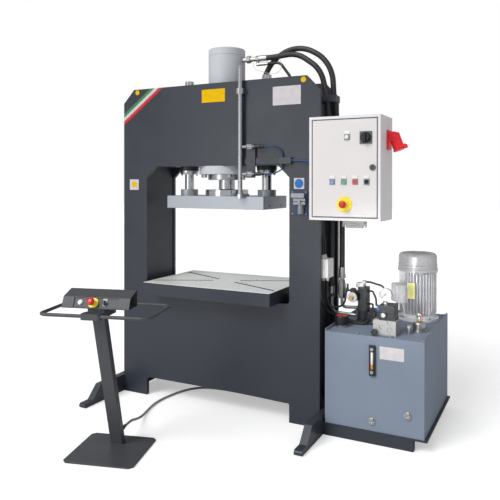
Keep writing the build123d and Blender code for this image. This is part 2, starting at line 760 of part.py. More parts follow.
def piston_rod():
    """Piston, rod and the flange that carries the platen, turned as one."""
    foot_top = PLATEN_TOP + BOSS_HEIGHT
    piston_top = PISTON_Z + PISTON_LENGTH
    piston = BORE_RADIUS - RUNNING_FIT
    profile = [(0, PLATEN_TOP), (ROD_FLANGE_RADIUS, PLATEN_TOP), (ROD_FLANGE_RADIUS, foot_top - 2)]
    profile += [(ROD_FLANGE_RADIUS - 2, foot_top), (ROD_RADIUS + 4, foot_top), (ROD_RADIUS, foot_top + 4)]
    profile += [(ROD_RADIUS, PISTON_Z), (piston, PISTON_Z)]
    for low in (PISTON_Z + 14, PISTON_Z + 35, PISTON_Z + 56):
        profile += [(piston, low), (piston - 6, low), (piston - 6, low + 9), (piston, low + 9)]
    profile += [(piston, piston_top), (0, piston_top)]
    rod = turned(profile)
    for x, y in around(8, ROD_SCREW_CIRCLE, pi / 8):
        rod = rod - post(x, y, PLATEN_TOP, foot_top, ROD_SCREW / 2 + CLEAR)
        rod = rod - post(x, y, foot_top - ROD_SCREW, foot_top, SCREW_HEAD * ROD_SCREW + CLEAR)
    return rod


def guide_columns():
    """Both chromed guide columns."""
    column = turned(
        [
            (0, PLATEN_TOP),
            (GUIDE_RADIUS, PLATEN_TOP),
            (GUIDE_RADIUS, GUIDE_TOP - 3),
            (GUIDE_RADIUS - 3, GUIDE_TOP),
            (0, GUIDE_TOP),
        ],
        GUIDE_X,
    )
    return mirrored(column)


def stroke_rod():
    """Rod that follows the platen past the switches, with its clamp on the platen's front edge."""
    rod = post(STROKE_ROD_X, STROKE_ROD_Y, PLATEN_TOP - 12, STROKE_ROD_TOP, STROKE_ROD_RADIUS)
    rod = chamfer(rod.edges().group_by(Axis.Z)[-1], 2)
    front = -PLATEN_DEPTH / 2
    head = block(STROKE_ROD_X - 20, STROKE_ROD_X + 20, STROKE_ROD_Y - 18, front - 1, PLATEN_TOP - 12, PLATEN_TOP + 15)
    head = fillet(head.edges().filter_by(Axis.Z).group_by(Axis.Y)[0], 14)
    tail = block(STROKE_ROD_X - 20, STROKE_ROD_X + 20, front - 1, front + 60, PLATEN_TOP, PLATEN_TOP + 15)
    clamp = head + tail
    for x in (STROKE_ROD_X - 12, STROKE_ROD_X + 12):
        clamp = clamp - post(x, CLAMP_SCREW_Y, PLATEN_TOP, PLATEN_TOP + 15, 3 + CLEAR)
    return rod + clamp


def ram_screws():
    """Screws of the rod flange, the column bosses and the stroke rod's clamp."""
    top = PLATEN_TOP + BOSS_HEIGHT
    rod_screw = cap_screw(ROD_SCREW, BOSS_HEIGHT + 10)
    boss_screw = cap_screw(BOSS_SCREW, BOSS_HEIGHT - BOSS_SCREW)
    clamp_screw = cap_screw(6, 30)
    screws = [Pos(x, y, top - ROD_SCREW) * rod_screw for x, y in around(8, ROD_SCREW_CIRCLE, pi / 8)]
    for side in (-1, 1):
        for dx, dy in around(4, BOSS_SCREW_CIRCLE, pi / 4):
            screws.append(Pos(side * GUIDE_X + dx, dy, top - BOSS_SCREW) * boss_screw)
    for x in (STROKE_ROD_X - 12, STROKE_ROD_X + 12):
        screws.append(Pos(x, CLAMP_SCREW_Y, PLATEN_TOP + 15) * clamp_screw)
    return screws


# Stroke switches on the front plate
def rod_guide():
    """Eye on the crosshead that steadies the stroke rod."""
    face = -FRAME_DEPTH / 2
    eye = post(STROKE_ROD_X, STROKE_ROD_Y, EYE_Z - 18, EYE_Z + 18, 26)
    eye = eye + block(STROKE_ROD_X - 26, STROKE_ROD_X + 26, STROKE_ROD_Y, face, EYE_Z - 18, EYE_Z + 18)
    eye = eye - post(STROKE_ROD_X, STROKE_ROD_Y, EYE_Z - 20, EYE_Z + 20, STROKE_ROD_RADIUS + RUNNING_FIT)
    return fillet(eye.edges().group_by(Axis.Z)[-1], 2)


def stroke_sensors():
    """Rail, bracket, two sensors with plugs, and the block that gathers their leads."""
    face = -FRAME_DEPTH / 2
    rail = block(224, 452, face - 10, face, 1534, 1572)
    bracket = block(240, 300, face - 16, face - 10, 1452, 1654)
    bracket = fillet(bracket.edges().filter_by(Axis.Y), 5)
    pieces = [rail, bracket]
    for x in (286, 294):
        pieces.append(bar_y(x - 14, face - 20, face - 16, 1553, 4))
    for height in SENSOR_HEIGHTS:
        barrel = bar_x(STROKE_ROD_X + STROKE_ROD_RADIUS + 3, 300, STROKE_ROD_Y, height, 9)
        nuts = [Pos(x, STROKE_ROD_Y, height) * Rot(0, 90, 0) * extrude(RegularPolygon(14, 6), 6) for x in (246, 284)]
        plug = bar_x(300, 342, STROKE_ROD_Y, height, 11) + bar_x(342, 362, STROKE_ROD_Y, height, 8)
        saddle = block(250, 284, face - 34, face - 16, height - 14, height + 14)
        pieces.append(join_all([barrel, *nuts, plug]) + saddle)
    gather = block(458, 538, face - 24, face, 1534, 1572)
    gather = chamfer(gather.edges().filter_by(Axis.Y), 6)
    pieces.append(gather)
    return pieces


# Hoses, fittings and cables
def pressure_hoses():
    """Two main hoses over the crosshead, one thin return hose and three thin hoses at the valves."""
    hoses = [pipe(HOSE_A_ROUTE, HOSE_RADIUS, HOSE_A_BEND), pipe(HOSE_B_ROUTE, HOSE_RADIUS, HOSE_B_BEND)]
    hoses.append(pipe(THIN_HOSE_ROUTE, THIN_HOSE_RADIUS, 50))
    for route in VALVE_HOSE_ROUTES:
        hoses.append(laid(route, VALVE_HOSE_RADIUS))
    return hoses


def ferrule(x, y, top, down):
    """Crimped hose end with its swivel nut, hanging from a hose end."""
    sleeve = post(x, y, top - 42, top, HOSE_RADIUS + 2)
    nut = hexagon(x, y, top - 66, top - 42, 40)
    return sleeve + nut + post(x, y, down, top - 66, 12)


def steel_fittings():
    """Plated fittings, pipe bends, filter pot and drain plugs."""
    upper = bar_x(BARREL_RADIUS, 150, 0, UPPER_PORT_Z, 16)
    upper = upper + Pos(150, 0, UPPER_PORT_Z) * Rot(0, 90, 0) * extrude(RegularPolygon(24, 6), 26)
    upper = upper + bar_x(176, 214, 0, UPPER_PORT_Z, 15)
    upper = upper + Pos(214, 0, UPPER_PORT_Z) * Rot(0, 90, 0) * extrude(RegularPolygon(20, 6), 26)
    upper = upper + bar_x(240, PORT_END_X, 0, UPPER_PORT_Z, HOSE_RADIUS + 2)
    branch_z = THIN_HOSE_ROUTE[0][2]
    upper = upper + post(227, 0, branch_z, UPPER_PORT_Z, 9) + bar_x(218, THIN_HOSE_ROUTE[0][0], 0, branch_z, 10)
    lower = pipe(
        [
            (sqrt(BARREL_RADIUS**2 - HOSE_A_Y**2) + 8, HOSE_A_Y, LOWER_PORT_Z),
            (HOSE_A_X, HOSE_A_Y, LOWER_PORT_Z),
            (HOSE_A_X, HOSE_A_Y, HOSE_A_LOW),
        ],
        14,
        34,
    )
    pieces = [upper, lower]
    foot_a = ferrule(HOSE_A_FOOT[0], HOSE_A_FOOT[1], HOSE_A_FOOT[2], VALVE_TOP)
    foot_b = ferrule(HOSE_B_FOOT[0], HOSE_B_FOOT[1], HOSE_B_FOOT[2], HOSE_B_FOOT[2] - 80)
    pieces += [foot_a, foot_b]
    tower_x, tower_y = TOWER
    manifold_left = tower_x - 44
    pieces.append(
        pipe(
            [
                (HOSE_A_FOOT[0], HOSE_A_FOOT[1], VALVE_BOTTOM),
                (HOSE_A_FOOT[0], HOSE_A_FOOT[1], 662),
                (manifold_left, tower_y + 20, 662),
            ],
            10,
            26,
        )
    )
    pieces.append(
        pipe(
            [
                (HOSE_B_FOOT[0], HOSE_B_FOOT[1], HOSE_B_FOOT[2] - 80),
                (HOSE_B_FOOT[0] + 4, HOSE_B_FOOT[1], 632),
                (manifold_left, tower_y - 24, 624),
            ],
            10,
            30,
        )
    )
    top_block = block(tower_x - 42, tower_x + 8, tower_y - 22, tower_y + 22, TOWER_TOP, TOWER_TOP + 22)
    banjo = block(tower_x - 8, tower_x + 12, tower_y - 12, tower_y + 12, TOWER_TOP + 22, TOWER_TOP + 38)
    pieces.append(chamfer(top_block.edges().filter_by(Axis.Z), 4) + banjo)
    pot = turned(
        [
            (0, TANK_Z1),
            (FILTER_RADIUS + 8, TANK_Z1),
            (FILTER_RADIUS + 8, TANK_Z1 + 8),
            (FILTER_RADIUS, TANK_Z1 + 8),
            (FILTER_RADIUS, TANK_Z1 + 44),
            (FILTER_RADIUS - 6, TANK_Z1 + 52),
            (0, TANK_Z1 + 52),
        ],
        *FILTER,
    )
    pieces.append(pot)
    x, y = TEST_POINT
    pieces.append(post(x, y, TANK_Z1, TANK_Z1 + 30, 10) + hexagon(x, y, TANK_Z1 + 30, TANK_Z1 + 48, 26))
    for x, z in TANK_PLUGS:
        washer = bar_y(x, TANK_Y0 - 4, TANK_Y0, z, 20)
        head = Pos(x, TANK_Y0 - 4, z) * Rot(90, 0, 0) * extrude(RegularPolygon(17, 6), 9)
        recess = Pos(x, TANK_Y0 - 14, z) * Rot(-90, 0, 0) * extrude(RegularPolygon(7, 6), 7)
        pieces.append(washer + head - recess)
    return pieces


def ball_valve():
    """Shut-off valve under the first main hose."""
    x, y, _ = HOSE_A_FOOT
    body = block(x - 22, x + 22, y - 20, y + 20, VALVE_BOTTOM + 24, VALVE_TOP - 24)
    body = chamfer(body.edges().filter_by(Axis.Z), 8)
    body = body + hexagon(x, y, VALVE_BOTTOM, VALVE_BOTTOM + 24, 34)
    body = body + hexagon(x, y, VALVE_TOP - 24, VALVE_TOP, 34)
    gland = bar_x(x + 22, x + 30, y, VALVE_MIDDLE, 9)
    return body + gland - bar_x(x + 10, x + 32, y, VALVE_MIDDLE, 5 + RUNNING_FIT)


def valve_lever():
    """Short handle of the shut-off valve on its stem."""
    x, y, _ = HOSE_A_FOOT
    stem = bar_x(x + 11, x + 34, y, VALVE_MIDDLE, 5)
    hub = bar_x(x + 31, x + 40, y, VALVE_MIDDLE, 11)
    grip = block(x + 33, x + 40, y - 9, y + 9, VALVE_MIDDLE - 10, VALVE_MIDDLE + 34)
    grip = fillet(grip.edges().filter_by(Axis.X), 6)
    return stem + hub + grip


def signal_cables():
    """Sensor leads to the gathering block, its trunk to the cabinet and three junction box cables."""
    cables = [laid(route, SIGNAL_RADIUS) for route in LEAD_ROUTES]
    cables.append(laid(TRUNK_ROUTE, TRUNK_RADIUS))
    for route in (MOTOR_CABLE_ROUTE, COIL_CABLE_ROUTE, SWITCH_CABLE_ROUTE):
        cables.append(laid(route, BOX_CABLE_RADIUS))
    box_x, box_y, _ = JUNCTION_BOTTOM
    for y, height in zip((box_y - 14, box_y + 24), RISER_HEIGHTS):
        riser = [
            (box_x, y, JUNCTION_TOP + 22),
            (box_x, y, 1060),
            (box_x - 8, RISER_Y, 1240),
            (box_x - 8, RISER_Y, height),
            (CABINET_X0 + 12, RISER_Y, height),
        ]
        cables.append(laid(riser, TRUNK_RADIUS))
    return cables


def junction_box():
    """White terminal box in the right column's channel with its cable glands."""
    box_x, box_y, box_z = JUNCTION_BOTTOM
    shell = block(OUTER_WEB_FACE, 745, -130, -32, box_z, JUNCTION_TOP)
    shell = fillet(shell.edges().filter_by(Axis.X), 4)
    seam = block(728, 729.5, -131, -31, box_z - 1, JUNCTION_TOP + 1)
    seam = seam - block(720, 740, -129, -33, box_z + 1, JUNCTION_TOP - 1)
    shell = shell - seam
    for i in range(3):
        x = box_x - 24 + 24 * i
        shell = shell + hexagon(x, box_y, box_z - 10, box_z, 20) + post(x, box_y, box_z - 22, box_z - 10, 8.5)
    for y in (box_y - 14, box_y + 24):
        shell = shell + hexagon(box_x, y, JUNCTION_TOP, JUNCTION_TOP + 10, 22)
        shell = shell + post(box_x, y, JUNCTION_TOP + 10, JUNCTION_TOP + 22, 9.5)
    return shell


def side_brackets():
    """Arms that carry the cabinet and the clamp that holds both main hoses."""
    arms = []
    for height in (CABINET_Z0 + 110, CABINET_Z1 - 110):
        arm = block(OUTER_WEB_FACE, CABINET_X1 - 60, CABINET_Y1, CABINET_Y1 + 34, height - 30, height + 30)
        arm = arm - block(OUTER_WEB_FACE + 10, CABINET_X1, CABINET_Y1 + 5, CABINET_Y1 + 40, height - 25, height + 25)
        arms.append(arm)
    clamp = block(OUTER_WEB_FACE, 752, -30, 72, 1906, 1946)
    clamp = chamfer(clamp.edges().filter_by(Axis.Z).group_by(Axis.X)[-1], 10)
    for route, bend in ((HOSE_A_ROUTE, HOSE_A_BEND), (HOSE_B_ROUTE, HOSE_B_BEND)):
        clamp = clamp - pipe(route, HOSE_RADIUS + CLEAR, bend)
    return [*arms, clamp]


# Control cabinet
def strips_round(near, far, outside, inside):
    """Four strips round the door, between two distances from the case's outer faces."""
    width = inside - outside
    x0 = CABINET_X0 + outside
    x1 = CABINET_X1 - outside
    z0 = CABINET_Z0 + outside
    z1 = CABINET_Z1 - outside
    return [
        block(x0, x1, near, far, z0, z0 + width),
        block(x0, x1, near, far, z1 - width, z1),
        block(x0, x0 + width, near, far, z0 + width, z1 - width),
        block(x1 - width, x1, near, far, z0 + width, z1 - width),
    ]


def cabinet_case():
    """Sheet steel case: five panels, and a border, a fold and a stop lip round the door."""
    wall = CABINET_WALL
    border = CABINET_BORDER
    front = CABINET_Y0
    back = CABINET_Y1 - wall
    z0 = CABINET_Z0 + wall
    z1 = CABINET_Z1 - wall
    panels = [
        block(CABINET_X0, CABINET_X1, back, CABINET_Y1, CABINET_Z0, CABINET_Z1),
        block(CABINET_X0, CABINET_X1, front, back, CABINET_Z0, z0),
        block(CABINET_X0, CABINET_X1, front, back, z1, CABINET_Z1),
        block(CABINET_X0, CABINET_X0 + wall, front, back, z0, z1),
        block(CABINET_X1 - wall, CABINET_X1, front, back, z0, z1),
    ]
    panels += strips_round(front, front + wall, wall, border)
    panels += strips_round(front + wall, front + STOP_DEPTH, border - wall, border)
    panels += strips_round(front + STOP_DEPTH - wall, front + STOP_DEPTH, border, border + STOP_LIP)
    holes = [bar_x(CABINET_X1 - 5, CABINET_X1 + 1, INLET_Y, INLET_Z, 26)]
    holes.append(block(CONNECTOR_X0 + 2, CONNECTOR_X1 - 2, -272, -228, CABINET_Z0 - 1, CABINET_Z0 + 5))
    for z in (CABINET_Z0 + border - wall / 2, CABINET_Z1 - border + wall / 2):
        holes.append(post(HINGE_X, HINGE_Y, z - 4, z + 4, HINGE_PIN + RUNNING_FIT))
    for y, z in ((TRUNK_ROUTE[-1][1], TRUNK_ROUTE[-1][2]), *((RISER_Y, height) for height in RISER_HEIGHTS)):
        holes.append(bar_x(CABINET_X0 - 1, CABINET_X0 + 5, y, z, TRUNK_RADIUS + CLEAR))
    return [cut_all(panel, holes) for panel in panels]


def cabinet_door():
    """Folded door with round openings for its devices and two hinge pins."""
    gap = CABINET_BORDER + DOOR_GAP
    x0 = CABINET_X0 + gap
    x1 = CABINET_X1 - gap
    z0 = CABINET_Z0 + gap
    z1 = CABINET_Z1 - gap
    door = block(x0, x1, CABINET_Y0, CABINET_Y0 + DOOR_FOLD, z0, z1)
    sheet = DOOR_SHEET
    door = door - block(x0 + sheet, x1 - sheet, CABINET_Y0 + sheet, CABINET_Y0 + DOOR_FOLD + 1, z0 + sheet, z1 - sheet)
    for x, z in BUTTON_PLACES:
        door = door - bar_y(x, CABINET_Y0 - 1, CABINET_Y0 + sheet + 1, z, DEVICE_HOLE)
    for x, z in (SELECTOR_PLACE, LAMP_PLACE, SWITCH_PLACE, STOP_PLACE):
        door = door - bar_y(x, CABINET_Y0 - 1, CABINET_Y0 + sheet + 1, z, DEVICE_HOLE)
    door = door - bar_y(LOCK_PLACE[0], CABINET_Y0 - 1, CABINET_Y0 + sheet + 1, LOCK_PLACE[1], LOCK_RADIUS + RUNNING_FIT)
    pin_end = DOOR_GAP + CABINET_WALL
    lugs = [
        post(HINGE_X, HINGE_Y, z0 - pin_end, z0 + sheet, HINGE_PIN),
        post(HINGE_X, HINGE_Y, z1 - sheet, z1 + pin_end, HINGE_PIN),
    ]
    return join_all([door, *lugs])


def device_body(x, z, bore, face, contact_depth):
    """Bezel in front of the door and contact block behind it, bored for its actuator."""
    front = CABINET_Y0
    bezel = block(x - face / 2, x + face / 2, front - 5, front, z - face / 2, z + face / 2)
    bezel = chamfer(bezel.edges().group_by(Axis.Y)[0], 1.5)
    neck = bar_y(x, front, front + 12, z, DEVICE_HOLE - CLEAR)
    nut = Pos(x, front + 5, z) * Rot(-90, 0, 0) * extrude(RegularPolygon(17, 8), 4)
    contacts = block(x - 15, x + 15, front + 12, front + 12 + contact_depth, z - 17, z + 17)
    body = bezel + neck + nut + contacts
    return body - bar_y(x, front - 6, front + 22, z, bore)


def door_devices():
    """Bezels, contact blocks, label holders, pilot lamp, switch plate and emergency stop ring."""
    pieces = []
    front = CABINET_Y0
    for x, z in (*BUTTON_PLACES, SELECTOR_PLACE):
        pieces.append(device_body(x, z, BUTTON_RADIUS + RUNNING_FIT, 30, 34))
        pieces.append(block(x - 15, x + 15, front - 3, front, z + 17, z + 33))
    x, z = LAMP_PLACE
    lens = Rot(90, 0, 0) * turned([(0, 5), (11, 5), (11, 11), (7, 14), (0, 14)])
    pieces.append(device_body(x, z, 2, 30, 30) + Pos(x, front, z) * lens)
    pieces.append(block(x - 15, x + 15, front - 3, front, z + 17, z + 33))
    x, z = SWITCH_PLACE
    plate = block(x - 33, x + 33, front - 6, front, z - 33, z + 33)
    plate = chamfer(plate.edges().group_by(Axis.Y)[0], 2)
    collar = bar_y(x, front - 12, front - 6, z, 29)
    gear = block(x - 32, x + 32, front + 10, front + 62, z - 36, z + 36) + bar_y(x, front, front + 10, z, DEVICE_HOLE - CLEAR)
    pieces.append(plate + collar + gear - bar_y(x, front - 13, front + 30, z, SWITCH_STEM + RUNNING_FIT))
    x, z = STOP_PLACE
    disc = bar_y(x, front - 3, front, z, STOP_DISC_RADIUS)
    collar = bar_y(x, front - 14, front - 3, z, 16) + bar_y(x, front, front + 12, z, DEVICE_HOLE - CLEAR)
    contacts = block(x - 15, x + 15, front + 12, front + 56, z - 17, z + 17)
    pieces.append(disc + collar + contacts - bar_y(x, front - 15, front + 30, z, STOP_STEM + RUNNING_FIT))
    return pieces


def push_button(x, z):
    """One door button with a dished cap and its plunger."""
    front = CABINET_Y0
    cap = bar_y(x, front - 8, front + 2, z, BUTTON_RADIUS)
    cap = cap - Pos(x, front - 8 - 38, z) * Sphere(40)
    return cap + bar_y(x, front + 2, front + 16, z, 5)


def rotary_knob(x, y, z, radius, depth, handle):
    """A round knob on the door, turned to face the operator, with a raised grip bar."""
    knob = bar_y(x, y - depth, y, z, radius)
    grip = block(x - handle / 2, x + handle / 2, y - depth - handle, y - depth, z - radius + 1, z + radius - 1)
    grip = chamfer(grip.edges().group_by(Axis.Y)[0], handle / 5)
    return knob + grip


def main_switch():
    """Main switch knob with its square stem."""
    x, z = SWITCH_PLACE
    face = CABINET_Y0 - 12 - CLEAR
    return rotary_knob(x, face, z, 22, 12, 12) + bar_y(x, face, CABINET_Y0 + 28, z, SWITCH_STEM)


def door_selector():
    """Two-position selector on the door."""
    x, z = SELECTOR_PLACE
    return rotary_knob(x, CABINET_Y0 - 3, z, BUTTON_RADIUS, 6, 7) + bar_y(x, CABINET_Y0 - 3, CABINET_Y0 + 16, z, 5)


def door_lock():
    """Lock insert with its slot and the cam behind the door."""
    x, z = LOCK_PLACE
    front = CABINET_Y0
    insert = bar_y(x, front - 4, front + 30, z, LOCK_RADIUS)
    insert = insert + bar_y(x, front - 6, front - CLEAR, z, LOCK_RADIUS + 5)
    insert = insert - block(x - 1.5, x + 1.5, front - 7, front - 1, z - 6, z + 6)
    cam = block(x - 7, x + 7, front + 27, front + 30, z - 8, z + 24)
    return insert + fillet(cam.edges().filter_by(Axis.Y), 5)


def door_stop():
    """Red mushroom head of the door's emergency stop."""
    x, z = STOP_PLACE
    front = CABINET_Y0
    profile = [(0, 0), (STOP_STEM, 0), (STOP_STEM, 42), (13, 44), (19, 52), (20, 58), (17, 63), (9, 66), (0, 66.5)]
    return Pos(x, front + 22, z) * Rot(90, 0, 0) * turned(profile)


def switchgear():
    """Mounting plate with rails, contactors, relays, a transformer and wiring ducts."""
    back = CABINET_Y1 - CABINET_WALL
    x0 = CABINET_X0 + 30
    x1 = CABINET_X1 - 30
    plate_front = back - 14
    pieces = [block(x0, x1, plate_front, plate_front + 3, CABINET_Z0 + 30, CABINET_Z1 - 30)]
    for x in (x0 + 12, x1 - 12):
        for z in (CABINET_Z0 + 42, CABINET_Z1 - 42):
            pieces.append(bar_y(x, plate_front + 3, back, z, 6))
    for z in (CABINET_Z0 + 180, CABINET_Z0 + 370):
        pieces.append(block(x0 + 40, x1 - 40, plate_front - 8, plate_front, z - 17, z + 17))
        for i in range(4):
            x = x0 + 62 + 62 * i
            relay = block(x - 22, x + 22, plate_front - 78, plate_front - 8, z - 38, z + 38)
            relay = relay - block(x - 23, x + 23, plate_front - 79, plate_front - 60, z + 22, z + 40)
            relay = relay - block(x - 23, x + 23, plate_front - 79, plate_front - 60, z - 40, z - 22)
            pieces.append(relay)
    for z in (CABINET_Z0 + 95, CABINET_Z0 + 275, CABINET_Z0 + 465):
        duct = block(x0 + 8, x1 - 8, plate_front - 50, plate_front, z - 18, z + 18)
        duct = duct - block(x0 + 7, x1 - 7, plate_front - 48, plate_front - 2, z - 16, z + 16)
        pieces.append(duct)
    return pieces


def inlet_place():
    """Where the supply inlet's tube starts, with its Z axis pointing down and outward."""
    return Pos(CABINET_X1 + INLET_REACH, INLET_Y, INLET_Z + INLET_RISE) * Rot(0, 90 + INLET_TILT, 0)


def power_inlet():
    """Red supply inlet on the cabinet's right side: base, hood, tube, contact insert and hinge lugs."""
    base = block(CABINET_X1, CABINET_X1 + 10, INLET_Y - 34, INLET_Y + 34, INLET_Z - 52, INLET_Z + 52)
    base = fillet(base.edges().filter_by(Axis.X), 8)
    hood = block(CABINET_X1, CABINET_X1 + 52, INLET_Y - 30, INLET_Y + 30, INLET_Z - 8, INLET_Z + 44)
    hood = fillet(hood.edges().group_by(Axis.X)[-1], 12)
    tube = Pos(0, 0, (INLET_LENGTH - 22) / 2) * Cylinder(INLET_RADIUS, INLET_LENGTH + 22)
    bore = Pos(0, 0, INLET_LENGTH - 17) * Cylinder(INLET_RADIUS - 4, 36)
    insert = Pos(0, 0, INLET_LENGTH - 24) * Cylinder(16, 24)
    pin_x, pin_z = FLAP_PIN
    lugs = []
    for side in (-1, 1):
        foot_lug = block(pin_x - 5, -20, side * 17.3, side * 23, INLET_LENGTH - 14, INLET_LENGTH - 0.5)
        head_lug = block(pin_x - 5, pin_x + 5.5, side * 17.3, side * 23, INLET_LENGTH - 0.5, pin_z + 5)
        lugs.append(foot_lug + head_lug)
    pin = bar_y(pin_x, -23, 23, pin_z, FLAP_PIN_RADIUS)
    fixed = join_all([base, hood, inlet_place() * tube]) - inlet_place() * bore
    return join_all([fixed, inlet_place() * insert, *(inlet_place() * lug for lug in lugs), inlet_place() * pin])


def inlet_flap():
    """Sprung cover of the supply inlet with its hinge barrel."""
    pin_x, pin_z = FLAP_PIN
    low = INLET_LENGTH + CLEAR
    disc = post(0, 0, low, low + 8, INLET_RADIUS + 3)
    disc = chamfer(disc.edges().group_by(Axis.Z)[-1], 2)
    arm = block(pin_x, -20, -16, 16, low, low + 8)
    barrel = bar_y(pin_x, -16, 16, pin_z, FLAP_BARREL)
    flap = disc + arm + barrel
    return inlet_place() * (flap - bar_y(pin_x, -17, 17, pin_z, FLAP_PIN_RADIUS + RUNNING_FIT))


def multipole_connector():
    """Rectangular connector under the cabinet with its locking levers."""
    top = CABINET_Z0
    x0 = CONNECTOR_X0
    x1 = CONNECTOR_X1
    body = block(x0, x1, -274, -226, top - 30, top)
    body = chamfer(body.edges().group_by(Axis.Z)[0], 5)
    hood = block(x0 + 14, x1 - 14, -268, -232, top - 44, top - 30)
    lever = block(x0 - 6, x0, -262, -238, top - 40, top - 6)
    lever = lever + block(x1, x1 + 6, -262, -238, top - 40, top - 6)
    flange = block(x0 - 10, x1 + 10, -278, -222, top - 6, top)
    return body + hood + lever + flange


# Power unit
def tank_tray():
    """Tray under the tank with its front and rear beams tied to the frame."""
    beam_end = TANK_X1 - 56
    foot_face = FRAME_WIDTH / 2 + FOOT_THICKNESS
    tray = block(foot_face, TANK_X1 + 16, TANK_Y0 - 4, TANK_Y1 + 5, TANK_Z0 - TRAY, TANK_Z0)
    for y in (TANK_Y0 - 2, TANK_Y1 - 40):
        tray = tray + block(foot_face, beam_end, y, y + 40, 0, TANK_Z0 - TRAY)
    return tray


def oil_tank():
    """Welded tank, open at the top, with side walls that stand above the lid."""
    x0, x1, y0, y1 = TANK_X0, TANK_X1, TANK_Y0, TANK_Y1
    shell = block(x0, x1, y0, y1, TANK_Z0, TANK_Z1)
    shell = shell - block(x0 + TANK_WALL, x1 - TANK_WALL, y0 + TANK_WALL, y1 - TANK_WALL, TANK_Z0 + TANK_WALL, TANK_Z1 + 1)
    wing = block(x1 - TANK_WALL, x1, y0, y1, TANK_Z1, TANK_Z1 + TANK_WING)
    wing = fillet(wing.edges().filter_by(Axis.X).group_by(Axis.Z)[-1], TANK_WING - 1)
    shell = shell + wing + Pos(x0 - x1 + TANK_WALL, 0, 0) * wing
    for inside in ((x0 + TANK_WALL, x0 + 25), (x1 - 25, x1 - TANK_WALL)):
        ledge = block(*inside, y0 + TANK_WALL, y1 - TANK_WALL, TANK_Z1 - LID - 6, TANK_Z1 - LID)
        shell = shell + ledge
    for y in ((y0 + TANK_WALL, y0 + 25), (y1 - 25, y1 - TANK_WALL)):
        shell = shell + block(x0 + 25, x1 - 25, *y, TANK_Z1 - LID - 6, TANK_Z1 - LID)
    for x, y in LID_SCREWS:
        shell = shell - post(x, y, TANK_Z1 - LID - 7, TANK_Z1 - LID, LID_SCREW / 2 + CLEAR)
    x, z = LEVEL_PLACE
    for height in (z - 62, z + 62):
        shell = shell - bar_y(x, y0 - 1, y0 + TANK_WALL + 1, height, 5 + CLEAR)
    for x, z in TANK_PLUGS:
        shell = shell - bar_y(x, y0, y0 + TANK_WALL + 1, z, 10)
    return shell


def tank_lid():
    """Lid plate with openings for the pump, the filler, the filter and the return line."""
    inset = TANK_WALL + CLEAR
    lid = block(TANK_X0 + inset, TANK_X1 - inset, TANK_Y0 + inset, TANK_Y1 - inset, TANK_Z1 - LID, TANK_Z1)
    holes = [post(MOTOR_X, MOTOR_Y, TANK_Z1 - LID, TANK_Z1, 85)]
    holes.append(post(*FILLER, TANK_Z1 - LID, TANK_Z1, FILLER_RADIUS - 14))
    holes += [post(x, y, TANK_Z1 - LID, TANK_Z1, LID_SCREW / 2 + CLEAR) for x, y in LID_SCREWS]
    for dx, dy in around(4, MOTOR_BOLT_CIRCLE, pi / 4):
        holes.append(post(MOTOR_X + dx, MOTOR_Y + dy, TANK_Z1 - LID, TANK_Z1, MOTOR_BOLT / 2 + CLEAR))
    return cut_all(lid, holes)


def tank_screws():
    """Hexagon screws round the lid and under the motor's flange."""
    screws = []
    for x, y in LID_SCREWS:
        screws.append(hexagon(x, y, TANK_Z1, TANK_Z1 + 6, 13) + post(x, y, TANK_Z1 - LID - 6, TANK_Z1, LID_SCREW / 2))
    top = TANK_Z1 + MOTOR_FLANGE
    for dx, dy in around(4, MOTOR_BOLT_CIRCLE, pi / 4):
        x = MOTOR_X + dx
        y = MOTOR_Y + dy
        screws.append(hexagon(x, y, top, top + 8, 19) + post(x, y, TANK_Z1 - LID, top, MOTOR_BOLT / 2))
    return screws


def level_gauge():
    """Oil level gauge: a black frame round a sight tube, on two hollow screws."""
    x, z = LEVEL_PLACE
    front = TANK_Y0 - 16
    body = block(x - 17, x + 17, front, TANK_Y0, z - 82, z + 82)
    body = fillet(body.edges().filter_by(Axis.Z).group_by(Axis.Y)[0], 4)
    body = body - block(x - 8, x + 8, front - 1, front + 5, z - 46, z + 46)
    for height in (z - 62, z + 62):
        body = body + bar_y(x, front - 5, front, height, 9)
        body = body + bar_y(x, TANK_Y0, TANK_Y0 + TANK_WALL + 8, height, 5)
    return body


